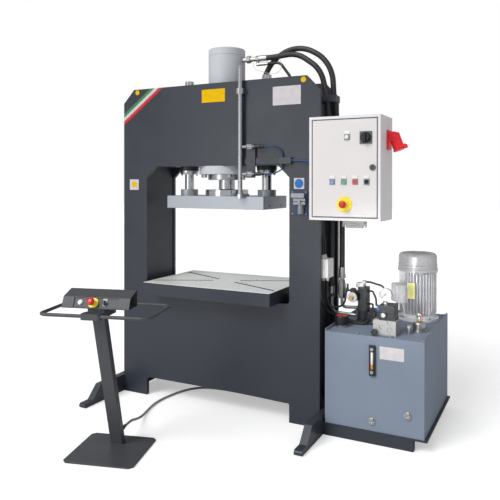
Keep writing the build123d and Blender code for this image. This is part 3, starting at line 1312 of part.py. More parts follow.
def motor_body():
    """Finned motor frame with its flange, end shields, lifting eye and terminal box."""
    z0 = TANK_Z1
    neck = z0 + MOTOR_FLANGE
    top = COVER_Z
    frame = turned(
        [
            (MOTOR_BORE, z0),
            (125, z0),
            (125, neck),
            (102, neck),
            (98, neck + 16),
            (MOTOR_CORE, neck + 26),
            (MOTOR_CORE, top + 14),
            (MOTOR_CORE - 8, top + 20),
            (SHAFT_RADIUS + 1, top + 20),
            (SHAFT_RADIUS + 1, top + 6),
            (MOTOR_BORE, top + 6),
            (MOTOR_BORE, neck + 20),
            (SHAFT_RADIUS + 1, neck + 20),
            (SHAFT_RADIUS + 1, neck + 8),
            (MOTOR_BORE, neck + 8),
        ]
    )
    fin_low = neck + 24
    fin = block(MOTOR_CORE - 2, MOTOR_FIN, -1.8, 1.8, fin_low, top - 6)
    fin = chamfer(fin.edges().filter_by(Axis.Y).group_by(Axis.X)[-1], 5)
    fins = []
    for i in range(FIN_COUNT):
        angle = 360.0 * i / FIN_COUNT
        if abs(angle - TERMINAL_ANGLE) > 22:
            fins.append(Rot(0, 0, angle) * fin)
    box = block(MOTOR_CORE - 10, MOTOR_FIN + 42, -48, 48, TERMINAL_LOW, TERMINAL_HIGH)
    box = chamfer(box.edges().filter_by(Axis.Y).group_by(Axis.X)[-1], 6)
    box = box - block(MOTOR_FIN + 30, MOTOR_FIN + 31.5, -60, 60, TERMINAL_LOW - 10, TERMINAL_HIGH + 10)
    box = box + block(MOTOR_CORE, MOTOR_FIN + 35, -44, 44, TERMINAL_LOW + 4, TERMINAL_HIGH - 4)
    box = Rot(0, 0, TERMINAL_ANGLE) * (box - Cylinder(MOTOR_CORE - 3, 3000))
    frame = join_all([frame, *fins, box])
    for dx, dy in around(4, MOTOR_BOLT_CIRCLE, pi / 4):
        frame = frame - post(dx, dy, z0, neck, MOTOR_BOLT / 2 + CLEAR)
    feet = [Rot(0, 0, angle) * block(MOTOR_CORE - 4, COVER_RADIUS, -8, 8, top - 6, top) for angle in (0, 90, 180, 270)]
    frame = join_all([frame, *feet])
    return Pos(MOTOR_X, MOTOR_Y, 0) * frame


def cover_form(inset):
    """The fan cover's outside, drawn inward by the inset."""
    side = COVER_RADIUS - inset
    step = COVER_Z + COVER_LIP
    top = MOTOR_TOP - inset
    profile = [(0, COVER_Z), (side, COVER_Z), (side, step), (side - COVER_STEP, step + COVER_STEP)]
    profile += [(side - COVER_TAPER, top), (0, top)]
    form = turned(profile)
    return fillet(form.edges().group_by(Axis.Z)[-1], COVER_ROUND - inset)


def motor_fan_cover():
    """Pressed fan cover with a lip, a slightly tapered side and a rounded, slotted top."""
    cover = cover_form(0) - cover_form(COVER_WALL)
    slot = block(26, 78, -3, 3, MOTOR_TOP - 8, MOTOR_TOP + 2)
    for i in range(16):
        cover = cover - Rot(0, 0, 22.5 * i) * slot
    return Pos(MOTOR_X, MOTOR_Y, 0) * cover


def motor_rotor():
    """Rotor, shaft, coupling and fan, which turn together."""
    neck = TANK_Z1 + MOTOR_FLANGE
    shaft = turned(
        [
            (0, PUMP_TOP - 20),
            (9, PUMP_TOP - 20),
            (9, PUMP_TOP + 16),
            (22, PUMP_TOP + 16),
            (22, PUMP_TOP + 58),
            (SHAFT_RADIUS, PUMP_TOP + 58),
            (SHAFT_RADIUS, neck + 44),
            (MOTOR_BORE - 4, neck + 44),
            (MOTOR_BORE - 4, COVER_Z - 40),
            (SHAFT_RADIUS, COVER_Z - 40),
            (SHAFT_RADIUS, COVER_Z + 34),
            (26, COVER_Z + 34),
            (26, COVER_Z + 72),
            (0, COVER_Z + 72),
        ]
    )
    blade = block(20, 92, -1.5, 1.5, COVER_Z + 42, COVER_Z + 68)
    disc = post(0, 0, COVER_Z + 38, COVER_Z + 42, 92)
    blades = [Rot(0, 0, 45 * i) * blade for i in range(8)]
    return Pos(MOTOR_X, MOTOR_Y, 0) * join_all([shaft, disc, *blades])


def pump_unit():
    """Bell housing under the lid with the gear pump, its suction pipe and strainer."""
    low = PUMP_TOP
    bell = turned(
        [
            (68, TANK_Z1),
            (84, TANK_Z1),
            (84, TANK_Z1 - 12),
            (76, TANK_Z1 - 16),
            (76, low + 12),
            (56, low),
            (9 + RUNNING_FIT, low),
            (9 + RUNNING_FIT, low + 8),
            (62, low + 14),
            (68, low + 24),
        ]
    )
    bell = bell - block(-20, 20, 30, 100, low + 40, low + 110) - block(-20, 20, -100, -30, low + 40, low + 110)
    body = block(-45, 45, -42, 42, low - 96, low)
    body = fillet(body.edges().filter_by(Axis.Z), 16)
    for z in (low - 30, low - 66):
        body = body + block(-47, 47, -44, 44, z - 1.5, z + 1.5)
    suction = pipe([(-40, 0, low - 48), (-110, 0, low - 48), (-110, 0, 170)], 15, 32)
    strainer = post(-110, 0, 105, 175, 40)
    pump = join_all([bell, body, suction, strainer]) - post(0, 0, low - 24, low + 7, 9 + RUNNING_FIT)
    return Pos(MOTOR_X, MOTOR_Y, 0) * pump


def filler_neck():
    """Filler neck with its strainer basket, screwed to the lid."""
    x, y = FILLER
    base = FILLER_RADIUS - 4
    return turned(
        [
            (base - 13, TANK_Z1 - 60),
            (base - 11, TANK_Z1 - 60),
            (base - 11, TANK_Z1),
            (base, TANK_Z1),
            (base, TANK_Z1 + 12),
            (base - 3, TANK_Z1 + 12),
            (base - 3, TANK_Z1 + 57),
            (base - 7, TANK_Z1 + 57),
            (base - 7, TANK_Z1 + 4),
            (base - 13, TANK_Z1 - 2),
        ],
        x,
        y,
    )


def filler_cap():
    """Filler cap with a ribbed rim."""
    x, y = FILLER
    low = TANK_Z1 + 13
    top = TANK_Z1 + 64
    cap = turned(
        [
            (FILLER_RADIUS - 6, low),
            (FILLER_RADIUS - 1, low),
            (FILLER_RADIUS - 1, top - 5),
            (FILLER_RADIUS - 5, top),
            (0, top),
            (0, top - 6),
            (FILLER_RADIUS - 6, top - 6),
        ]
    )
    for i in range(18):
        rib = block(FILLER_RADIUS - 2, FILLER_RADIUS + 1, -2, 2, low + 4, top - 8)
        cap = cap + Rot(0, 0, 20 * i) * rib
    return Pos(x, y, 0) * cap


def valve_block():
    """Drilled manifold block on the lid, with plugged ports in front."""
    x0, x1, y0, y1 = MANIFOLD
    body = block(x0, x1, y0, y1, TANK_Z1, MANIFOLD_TOP)
    body = chamfer(body.edges(), 2)
    for x, z in ((x0 + 48, TANK_Z1 + 50), (x0 + 92, TANK_Z1 + 36), (x0 + 92, TANK_Z1 + 74)):
        body = body - bar_y(x, y0 - 1, y0 + 6, z, 13)
        body = body + Pos(x, y0 + 7, z) * Rot(90, 0, 0) * extrude(RegularPolygon(10, 6), 6)
    x, z = HAND_KNOB
    return body - bar_y(x, y0 - 1, y0 + 14, z, 5 + RUNNING_FIT)


def control_valves():
    """Stacked valves on the tower and the pressure valve on the manifold."""
    x, y = TOWER
    base = turned([(0, TANK_Z1), (46, TANK_Z1), (46, TANK_Z1 + 10), (40, TANK_Z1 + 14), (40, TOWER_BASE), (0, TOWER_BASE)], x, y)
    stack = block(x - 28, x + 28, y - 36, y + 36, TOWER_BASE, TOWER_TOP)
    stack = chamfer(stack.edges(), 2)
    for z in (TOWER_BASE + 42, TOWER_BASE + 84):
        groove = block(x - 30, x + 30, y - 38, y + 38, z - 1, z + 1) - block(x - 26, x + 26, y - 34, y + 34, z - 2, z + 2)
        stack = stack - groove
    arm = block(x - 62, x - 28, y - 36, y + 24, COIL_Z - 26, COIL_Z + 26)
    tower = base + stack + arm
    side = block(x + 30, x + 74, y - 26, y + 30, TANK_Z1 + 16, TANK_Z1 + 66)
    side = side + block(x + 40, x + 64, y - 14, y + 14, TANK_Z1 + 66, TANK_Z1 + 84)
    tower = tower + side
    x0, x1, y0, y1 = MANIFOLD
    valve = block(x0 + 32, x1 - 8, y0 + 4, y1 - 4, MANIFOLD_TOP, VALVE_HEAD)
    valve = chamfer(valve.edges().filter_by(Axis.Y), 3)
    valve = valve - bar_y(KNOB_X, y0 + 2, y0 + 30, KNOB_Z, 6 + RUNNING_FIT)
    valve = valve + hexagon(VALVE_HOSE_ROUTES[0][-1][0], VALVE_HOSE_ROUTES[0][-1][1], VALVE_HEAD, VALVE_HEAD + 14, 14)
    flow = post(BLUE_X, BLUE_Y, MANIFOLD_TOP, BLUE_Z, 9) - post(BLUE_X, BLUE_Y, BLUE_Z - 20, BLUE_Z, 4 + RUNNING_FIT)
    return [tower, valve, flow]


def solenoid():
    """Solenoid coil with its end ring and armature tube."""
    x, y = TOWER
    axis_x = x - 45
    coil_back = y - 36
    coil = bar_y(axis_x, coil_back - 58, coil_back, COIL_Z, 30)
    coil = fillet(coil.edges().group_by(Axis.Y)[0], 3)
    ring = bar_y(axis_x, coil_back - 63, coil_back - 58, COIL_Z, 27)
    tip = bar_y(axis_x, coil_back - 78, coil_back - 63, COIL_Z, 12)
    tip = chamfer(tip.edges().group_by(Axis.Y)[0], 2)
    plug = block(axis_x - 14, axis_x + 14, coil_back - 46, coil_back - 18, COIL_Z + 18, COIL_Z + 52)
    plug = chamfer(plug.edges().group_by(Axis.Z)[-1], 4)
    return join_all([coil, ring, tip, plug])


def gauge_case():
    """Pressure gauge case on its stem, open in front of the dial."""
    x, y = GAUGE
    case = bar_y(x, y, y + 28, GAUGE_Z, GAUGE_RADIUS)
    case = fillet(case.edges().group_by(Axis.Y)[-1], 4)
    case = case - bar_y(x, y - 1, y + 9, GAUGE_Z, GAUGE_RADIUS - 3)
    pin = bar_y(x, y + 4, y + 9, GAUGE_Z, 1.5)
    stem = post(x, y + 14, VALVE_HEAD, GAUGE_Z - GAUGE_RADIUS + 4, 7)
    nut = hexagon(x, y + 14, VALVE_HEAD, VALVE_HEAD + 10, 22)
    return case + pin + stem + nut


def gauge_needle():
    """Needle of the pressure gauge, at rest on zero."""
    x, y = GAUGE
    hub = bar_y(x, y + 4.5, y + 7, GAUGE_Z, 3.5) - bar_y(x, y + 3, y + 8, GAUGE_Z, 1.5 + RUNNING_FIT)
    needle = Polyline((-1.3, 0), (1.3, 0), (0.4, 26), (-0.4, 26), close=True)
    blade = extrude(Plane.XZ * make_face(needle), 1.2) - Pos(0, 0, 0) * bar_y(0, -2, 2, 0, 3.2)
    tail = block(-1.6, 1.6, -1.2, 0, -9, -3.1)
    blade = Rot(0, NEEDLE_REST, 0) * (blade + tail)
    return hub + Pos(x, y + 6, GAUGE_Z) * blade


def pressure_knob():
    """Silver adjusting knob in front of the pressure valve."""
    y = MANIFOLD[2]
    knob = bar_y(KNOB_X, y - 18, y + 3, KNOB_Z, 14)
    knob = chamfer(knob.edges().group_by(Axis.Y)[0], 2)
    for i in range(6):
        dx = 15.5 * cos(i * pi / 3)
        dz = 15.5 * sin(i * pi / 3)
        knob = knob - bar_y(KNOB_X + dx, y - 19, y + 4, KNOB_Z + dz, 3)
    return knob + bar_y(KNOB_X, y + 3, y + 28, KNOB_Z, 6)


def flow_knob():
    """Blue adjusting knob of the flow valve."""
    knob = post(BLUE_X, BLUE_Y, BLUE_Z + CLEAR, BLUE_Z + 20, 8)
    knob = chamfer(knob.edges().group_by(Axis.Z)[-1], 1.5)
    return knob + post(BLUE_X, BLUE_Y, BLUE_Z - 18, BLUE_Z + CLEAR, 4)


def hand_knob():
    """Black star knob of the manifold's drain valve, with its spindle."""
    x, z = HAND_KNOB
    y = MANIFOLD[2]
    knob = bar_y(x, y - 34, y - 16, z, 17)
    for i in range(5):
        angle = 2 * pi * i / 5
        knob = knob - bar_y(x + 20 * cos(angle), y - 35, y - 15, z + 20 * sin(angle), 6)
    return knob + bar_y(x, y - 16, y + 13, z, 5)


# Console
def pedestal():
    """Floor plate, leaning hollow post and the folded tray that carries the console."""
    half_w = BASE_WIDTH / 2
    base = block(-half_w, half_w, BASE_FRONT, BASE_FRONT + BASE_DEPTH, 0, BASE_THICKNESS)
    base = chamfer(base.edges().filter_by(Axis.Z), BASE_CORNER)
    low = BASE_THICKNESS
    top = SHELF_TOP
    lean = Polyline((0, low), (POST_DEPTH, low), (POST_DEPTH - POST_LEAN, top), (-POST_LEAN, top), close=True)
    upright = extrude(Plane.YZ * make_face(lean), POST_WIDTH / 2, both=True)
    wall = POST_WALL
    hollow = Polyline(
        (wall, low), (POST_DEPTH - wall, low), (POST_DEPTH - wall - POST_LEAN, top), (wall - POST_LEAN, top), close=True
    )
    upright = upright - extrude(Plane.YZ * make_face(hollow), POST_WIDTH / 2 - wall, both=True)
    plan = Polyline((-58, -308), (44, -308), (44, -104), (-44, -104), (-44, -232), (-58, -262), close=True)
    shelf = extrude(Plane.XY.offset(SHELF_TOP - SHELF_DEPTH) * make_face(plan), SHELF_DEPTH)
    shelf = fillet(shelf.edges().filter_by(Axis.Z).group_by(Axis.Y)[0], 12)
    shelf = shelf + block(-44, 44, -250, -104, SHELF_TOP, TRAY_TOP)
    shelf = shelf - bar_x(-120, 70, RAIL_FRONT, RAIL_Z, RAIL_RADIUS + RUNNING_FIT)
    gland = bar_y(CABLE_EXIT_X, CABLE_EXIT_Y - 2, CABLE_EXIT_Y + 20, CABLE_EXIT_Z, 12)
    body = join_all([base, upright, shelf, gland])
    return body - bar_y(
        CABLE_EXIT_X, CABLE_EXIT_Y - 20, CABLE_EXIT_Y + 21, CABLE_EXIT_Z, CONSOLE_CABLE / 2 + CLEAR
    )


def console_profile(inset):
    """Side view of the console with its sloping front, drawn inward by the inset."""
    outline = Polyline(
        (-150, TRAY_TOP),
        (-150, TRAY_TOP + 76),
        (-158, TRAY_TOP + 82),
        (PANEL_TOP[0], TRAY_TOP + PANEL_TOP[1]),
        (PANEL_BOTTOM[0], TRAY_TOP + PANEL_BOTTOM[1]),
        (PANEL_BOTTOM[0], TRAY_TOP),
        close=True,
    )
    face = make_face(outline)
    return offset(face, -inset, kind=Kind.INTERSECTION) if inset else face


def console_slab(x0, x1, inset):
    """The console's profile stretched from x0 to x1."""
    return Pos(x0, 0, 0) * extrude(Plane.YZ * console_profile(inset), x1 - x0)


def panel_place(x):
    """A place on the sloping panel, with its Z axis pointing out of the panel."""
    dy = PANEL_BOTTOM[0] - PANEL_TOP[0]
    dz = PANEL_BOTTOM[1] - PANEL_TOP[1]
    length = sqrt(dy**2 + dz**2)
    normal = (0, dz / length, -dy / length)
    middle_y = (PANEL_BOTTOM[0] + PANEL_TOP[0]) / 2 - normal[1] * PANEL_RECESS
    middle_z = TRAY_TOP + (PANEL_BOTTOM[1] + PANEL_TOP[1]) / 2 - normal[2] * PANEL_RECESS
    return Plane(origin=(x, middle_y, middle_z), x_dir=(1, 0, 0), z_dir=normal)


def console_box():
    """Console case with open hoods at both ends and a recessed sloping panel."""
    half = CONSOLE_LENGTH / 2
    case = console_slab(-half, half, 0)
    case = case - console_slab(-HOOD_X + 4, HOOD_X - 4, 3)
    for side in (-1, 1):
        hood = console_slab(min(side * HOOD_X, side * (half + 1)), max(side * HOOD_X, side * (half + 1)), 3)
        case = case - hood
        case = case - bar_x(side * HOOD_X - 6, side * HOOD_X + 6, PALM_Y, PALM_Z, 8 + RUNNING_FIT)
    panel = panel_place(0)
    width = 2 * HOOD_X - 10
    case = case - panel * Pos(0, 0, 20) * Box(width, 48, 40)
    case = case + panel * Pos(0, 0, -1.5) * Box(width + 4, 52, 3)
    for x, radius in ((STOP_X, STOP_STEM), (SELECTOR_X, 5)):
        case = case - panel_place(x) * Cylinder(radius + RUNNING_FIT, 12)
    stop = panel_place(STOP_X) * (Pos(0, 0, 1.5) * Cylinder(CONSOLE_DISC_RADIUS, 3) + Pos(0, 0, 7) * Cylinder(15, 8))
    stop = stop - panel_place(STOP_X) * Pos(0, 0, 5) * Cylinder(STOP_STEM + RUNNING_FIT, 14)
    bezel = panel_place(SELECTOR_X) * (Pos(0, 0, 1.5) * Cylinder(14, 3))
    bezel = bezel - panel_place(SELECTOR_X) * Pos(0, 0, 2) * Cylinder(5 + RUNNING_FIT, 8)
    lamp = panel_place(LAMP_X) * (Pos(0, 0, 1.5) * Cylinder(14, 3) + Pos(0, 0, 6) * Cylinder(10, 6))
    plate = panel_place(SELECTOR_X) * Pos(0, 19, 1) * Box(24, 8, 2)
    return join_all([case, stop, bezel, lamp, plate])


def guard_rail():
    """Tube loop round the console at hand height."""
    half = RAIL_WIDTH / 2
    corners = [(0, RAIL_REAR), (-half, RAIL_REAR), (-half, RAIL_FRONT), (0, RAIL_FRONT)]
    left = pipe([(x, y, RAIL_Z) for x, y in corners], RAIL_RADIUS, RAIL_BEND)
    return left + mirror(left, Plane.YZ)


def console_stop():
    """Red mushroom head of the console's emergency stop."""
    profile = [(0, -4), (STOP_STEM, -4), (STOP_STEM, 20), (13, 22), (19, 30), (20, 36), (17, 41), (9, 44), (0, 44.5)]
    return panel_place(STOP_X) * turned(profile)


def console_selector():
    """Selector knob with a raised grip on the console."""
    knob = Pos(0, 0, 3.5 + 4) * Cylinder(11, 8) + Pos(0, 0, 15) * Box(6, 20, 8)
    return panel_place(SELECTOR_X) * (knob + Pos(0, 0, 1) * Cylinder(5, 8))


def palm_button(side):
    """Mushroom button inside one hood; side is -1 on the left and 1 on the right."""
    profile = [(0, -12), (8, -12), (8, 8), (22, 10), (24, 17), (21, 23), (11, 27), (0, 28)]
    return Pos(side * HOOD_X, PALM_Y, PALM_Z) * Rot(0, 90 * side, 0) * turned(profile)


def console_cable():
    """Free cable laid loosely on the floor from the post to the right column."""
    return laid(CABLE_ROUTE, CONSOLE_CABLE / 2)


def interlock_unit():
    """Rotary cam switch on its base plate on the right column."""
    face = -FRAME_DEPTH / 2
    x0, x1, z0, z1 = INTERLOCK
    plate = block(x0, x1, face - 4, face, z0, z1)
    plate = fillet(plate.edges().filter_by(Axis.Y), 4)
    for x in (x0 + 9, x1 - 9):
        for z in (z0 + 9, z1 - 9):
            plate = plate + bar_y(x, face - 7, face - 4, z, 4)
    middle = (x0 + x1) / 2
    head = block(x0 + 10, x1 - 10, face - 34, face - 4, z1 - 42, z1 - 16)
    head = fillet(head.edges().filter_by(Axis.Y), 6)
    bars = block(x0 + 22, x1 - 6, face - 26, face - 4, z1 - 62, z1 - 46)
    bars = bars + block(x0 + 22, x1 - 6, face - 26, face - 4, z1 - 82, z1 - 66)
    hub = bar_y(middle + 10, face - 36, face - 4, z1 - 64, 9)
    drum = Pos(middle + 16, face - 22, z0 + 38) * Cylinder(18, 56)
    drum = drum + block(middle - 2, middle + 34, face - 18, face - 4, z0 + 12, z0 + 64)
    return join_all([plate, head, bars, hub, drum])


def collect_nodes():
    """Every node of the machine in the press's own place."""
    console = Pos(CONSOLE_X, CONSOLE_Y, 0) * Rot(0, 0, CONSOLE_TURN)
    nodes = {
        "front_plate": front_plate(),
        "rear_plate": rear_plate(),
        "frame_webs": [*frame_webs(), *side_brackets()],
        "feet": mirrored(foot()),
        "work_table": work_table(),
        "cylinder": cylinder(),
        "guide_bushes": [*gland_and_bushes(), rod_guide()],
        "machine_screws": crosshead_screws() + tank_screws(),
        "platen": platen(),
        "piston_rod": piston_rod(),
        "guide_columns": guide_columns(),
        "stroke_rod": stroke_rod(),
        "ram_screws": ram_screws(),
        "stroke_sensors": [*stroke_sensors(), interlock_unit()],
        "signal_cables": signal_cables(),
        "pressure_hoses": pressure_hoses(),
        "steel_fittings": steel_fittings(),
        "ball_valve": ball_valve(),
        "valve_lever": valve_lever(),
        "junction_box": junction_box(),
        "cabinet_case": cabinet_case(),
        "cabinet_door": cabinet_door(),
        "door_devices": door_devices(),
        "main_switch": main_switch(),
        "door_lock": door_lock(),
        "door_selector": door_selector(),
        "door_stop": door_stop(),
        "switchgear": switchgear(),
        "power_inlet": power_inlet(),
        "inlet_flap": inlet_flap(),
        "multipole_connector": multipole_connector(),
        "tank_tray": tank_tray(),
        "oil_tank": oil_tank(),
        "tank_lid": tank_lid(),
        "level_gauge": level_gauge(),
        "motor_body": motor_body(),
        "motor_fan_cover": motor_fan_cover(),
        "motor_rotor": motor_rotor(),
        "pump_unit": pump_unit(),
        "filler_neck": filler_neck(),
        "filler_cap": filler_cap(),
        "valve_block": valve_block(),
        "control_valves": control_valves(),
        "solenoid": solenoid(),
        "gauge_case": gauge_case(),
        "gauge_needle": gauge_needle(),
        "pressure_knob": pressure_knob(),
        "flow_knob": flow_knob(),
        "hand_knob": hand_knob(),
        "pedestal": console * pedestal(),
        "console_box": console * console_box(),
        "guard_rail": console * guard_rail(),
        "console_stop": console * console_stop(),
        "console_selector": console * console_selector(),
        "left_palm_button": console * palm_button(-1),
        "right_palm_button": console * palm_button(1),
        "console_cable": console_cable(),
    }
    for name, place in zip(("blue_button", "green_button", "red_button"), BUTTON_PLACES):
        nodes[name] = push_button(*place)
    return nodes


def as_compound(shape):
    """All solids of a node in one compound."""
    if isinstance(shape, list):
        solids = [solid for piece in shape for solid in piece.solids()]
    else:
        solids = shape.solids()
    return Compound(solids) if len(solids) > 1 else solids[0]


def machine_offset(nodes):
    """The move that puts the origin on the floor under the middle of the machine."""
    rigid = Compound([nodes[name] for name in nodes if name != "console_cable"])
    box = rigid.bounding_box()
    middle = box.center()
    return Pos(-middle.X, -middle.Y, -box.min.Z)


def main():
    """Builds every node, moves it to the machine's origin and writes its file."""
    os.makedirs("parts", exist_ok=True)
    nodes = {name: as_compound(shape) for name, shape in collect_nodes().items()}
    offset_place = machine_offset(nodes)
    print("offset", tuple(round(v, 3) for v in offset_place.position))
    cable = nodes["console_cable"]
    print("cable bend radii", [round(r) for r in bend_radii(CABLE_ROUTE)])
    print("cable length", round(cable.volume / (pi * (CONSOLE_CABLE / 2) ** 2)))
    for name, shape in nodes.items():
        export_step(offset_place * shape, f"parts/{name}.step")
    return nodes, offset_place


if __name__ == "__main__":
    main()
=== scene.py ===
"""Hydraulic press: looks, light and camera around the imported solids. Metres, +Z up."""

import math

import bmesh
import bpy
from mathutils import Matrix, Vector


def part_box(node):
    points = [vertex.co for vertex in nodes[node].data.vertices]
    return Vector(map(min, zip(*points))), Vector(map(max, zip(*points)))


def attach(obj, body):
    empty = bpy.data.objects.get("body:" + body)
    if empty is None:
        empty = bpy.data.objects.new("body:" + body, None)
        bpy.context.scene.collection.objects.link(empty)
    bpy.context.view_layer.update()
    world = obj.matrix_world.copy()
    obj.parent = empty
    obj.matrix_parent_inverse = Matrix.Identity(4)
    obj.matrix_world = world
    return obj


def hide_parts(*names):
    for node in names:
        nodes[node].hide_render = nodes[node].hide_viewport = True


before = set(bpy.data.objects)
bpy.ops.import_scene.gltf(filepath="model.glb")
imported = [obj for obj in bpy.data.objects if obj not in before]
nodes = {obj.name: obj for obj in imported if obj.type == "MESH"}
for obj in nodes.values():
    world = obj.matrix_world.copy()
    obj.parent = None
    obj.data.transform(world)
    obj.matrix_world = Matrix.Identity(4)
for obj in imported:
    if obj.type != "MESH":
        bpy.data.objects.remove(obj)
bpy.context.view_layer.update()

# Front faces of the frame, the cabinet's border and the tank, in y from the middle of the frame
FRONT_Y = -0.171
CABINET_FRONT = -0.365
TANK_FRONT = -0.234

# The middle of the press's own frame on the floor, from which the places below are given
front_low, front_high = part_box("front_plate")
PRESS = Vector(((front_low.x + front_high.x) / 2, front_low.y - FRONT_Y, front_low.z))

# Middles on the cabinet's door, in x and z
DOOR_DEVICES = ((0.852, 1.427), (0.917, 1.427), (0.979, 1.427), (1.041, 1.427))
DOOR_LAMP = (0.935, 1.664)
DOOR_SWITCH = (1.037, 1.659)
DOOR_STOP = (0.920, 1.307)

# The cabinet's sides in x and z, and the border round its door
CABINET = (0.720, 1.115, 1.219, 1.779)
CABINET_BORDER = 0.018

# The tank's level gauge in x and z, the pressure gauge's dial, and the motor's axis in x and y
LEVEL = (1.038, 0.457)
GAUGE = (1.088, -0.156, 0.806)
MOTOR = (1.165, 0.330)

# The console's place and turn, and the axes of its sloping panel
CONSOLE = (-0.192, -0.880, 0.0)
CONSOLE_TURN = math.radians(15.8)
PANEL_MIDDLE = Vector((0.0, -0.24642, 0.81899))
PANEL_OUT = Vector((0.0, -0.91533, 0.40275))
PANEL_UP = Vector((0.0, 0.40275, 0.91533))


def at(x, y, z):
    """A point given from the middle of the press's frame, in the row frame."""
    return PRESS + Vector((x, y, z))


def press_place(point):
    """A row point measured from the middle of the press's frame."""
    return point - PRESS


def console_place(point):
    """A row point in the console's own turned axes."""
    return Matrix.Rotation(-CONSOLE_TURN, 3, "Z") @ (press_place(point) - Vector(CONSOLE))


def panel_place(point):
    """A row point on the console's sloping panel: along it, up it and out of it."""
    offset = console_place(point) - PANEL_MIDDLE
    return Vector((offset.x, offset.dot(PANEL_UP), offset.dot(PANEL_OUT)))


def link_object(name, data):
    """A new object of the scene that holds some data."""
    thing = bpy.data.objects.new(name, data)
    bpy.context.scene.collection.objects.link(thing)
    return thing


# Camera
CAMERA_PLACE = (1.926, -3.4464, 1.4202)
CAMERA_TURN = (89.74, -0.04, 27.0)
CAMERA_LENS, CAMERA_SENSOR = 43.288, 36.0
CAMERA_SHIFT_Y = -0.1286
CAMERA_FAR = 60.0


def make_camera():
    """Camera in front of the machine and to its right."""
    data = bpy.data.cameras.new("camera")
    data.lens = CAMERA_LENS
    data.sensor_width = CAMERA_SENSOR
    data.shift_y = CAMERA_SHIFT_Y
    data.clip_end = CAMERA_FAR
    camera = link_object("camera", data)
    camera.location = at(*CAMERA_PLACE)
    camera.rotation_euler = [math.radians(turn) for turn in CAMERA_TURN]
    bpy.context.scene.camera = camera


# The loose cable
CABLE_POINTS = (
    (-0.1749, -0.8669, 0.080),
    (-0.2136, -0.7302, 0.080),
    (-0.2430, -0.6500, 0.050),
    (-0.2900, -0.5300, 0.016),
    (-0.3300, -0.4200, 0.008),
    (-0.3580, -0.3200, 0.008),
    (-0.3660, -0.2150, 0.008),
    (-0.3500, -0.0900, 0.008),
    (-0.3080, 0.0350, 0.008),
    (-0.2350, 0.1100, 0.008),
    (-0.0900, 0.1360, 0.008),
    (0.0900, 0.1280, 0.008),
    (0.2400, 0.1190, 0.008),
    (0.3300, 0.1100, 0.008),
    (0.4200, 0.1090, 0.008),
    (0.4700, 0.1080, 0.058),
    (0.4700, 0.1080, 0.150),
)
CABLE_RADIUS = 0.0075


def round_curve(name, points, radius, material, along, around):
    """A round curve of one smooth spline, with its steps along each span and around it."""
    data = bpy.data.curves.new(name, "CURVE")
    data.dimensions = "3D"
    data.resolution_u = along
    data.bevel_depth = radius
    data.bevel_resolution = around
    spline = data.splines.new("NURBS")
    spline.points.add(len(points) - 1)
    for point, place in zip(spline.points, points):
        point.co = (*at(*place), 1.0)
    spline.order_u = 3
    spline.use_endpoint_u = True
    data.materials.append(material)
    return link_object(name, data)


def make_console_cable():
    """The console's cable, loose on the floor on one smooth curve."""
    cable = round_curve("console_lead", CABLE_POINTS, CABLE_RADIUS, cable_cover, along=10, around=4)
    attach(cable, "machine")
    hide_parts("console_cable")


# Materials
EDGE_SAMPLES = 4
MIX_FACTOR, MIX_A, MIX_B, MIX_RESULT = 0, 6, 7, 2


def srgb(code):
    """Linear colour of a six-digit code."""
    channels = [int(code[i : i + 2], 16) / 255 for i in (0, 2, 4)]
    linear = (c / 12.92 if c <= 0.04045 else ((c + 0.055) / 1.055) ** 2.4 for c in channels)
    return (*linear, 1.0)


def tint(colour, factor, lift=0.0):
    """A colour made darker or lighter by a factor, and lifted by an amount."""
    return (*(min(1, c * factor + lift) for c in colour[:3]), 1.0)


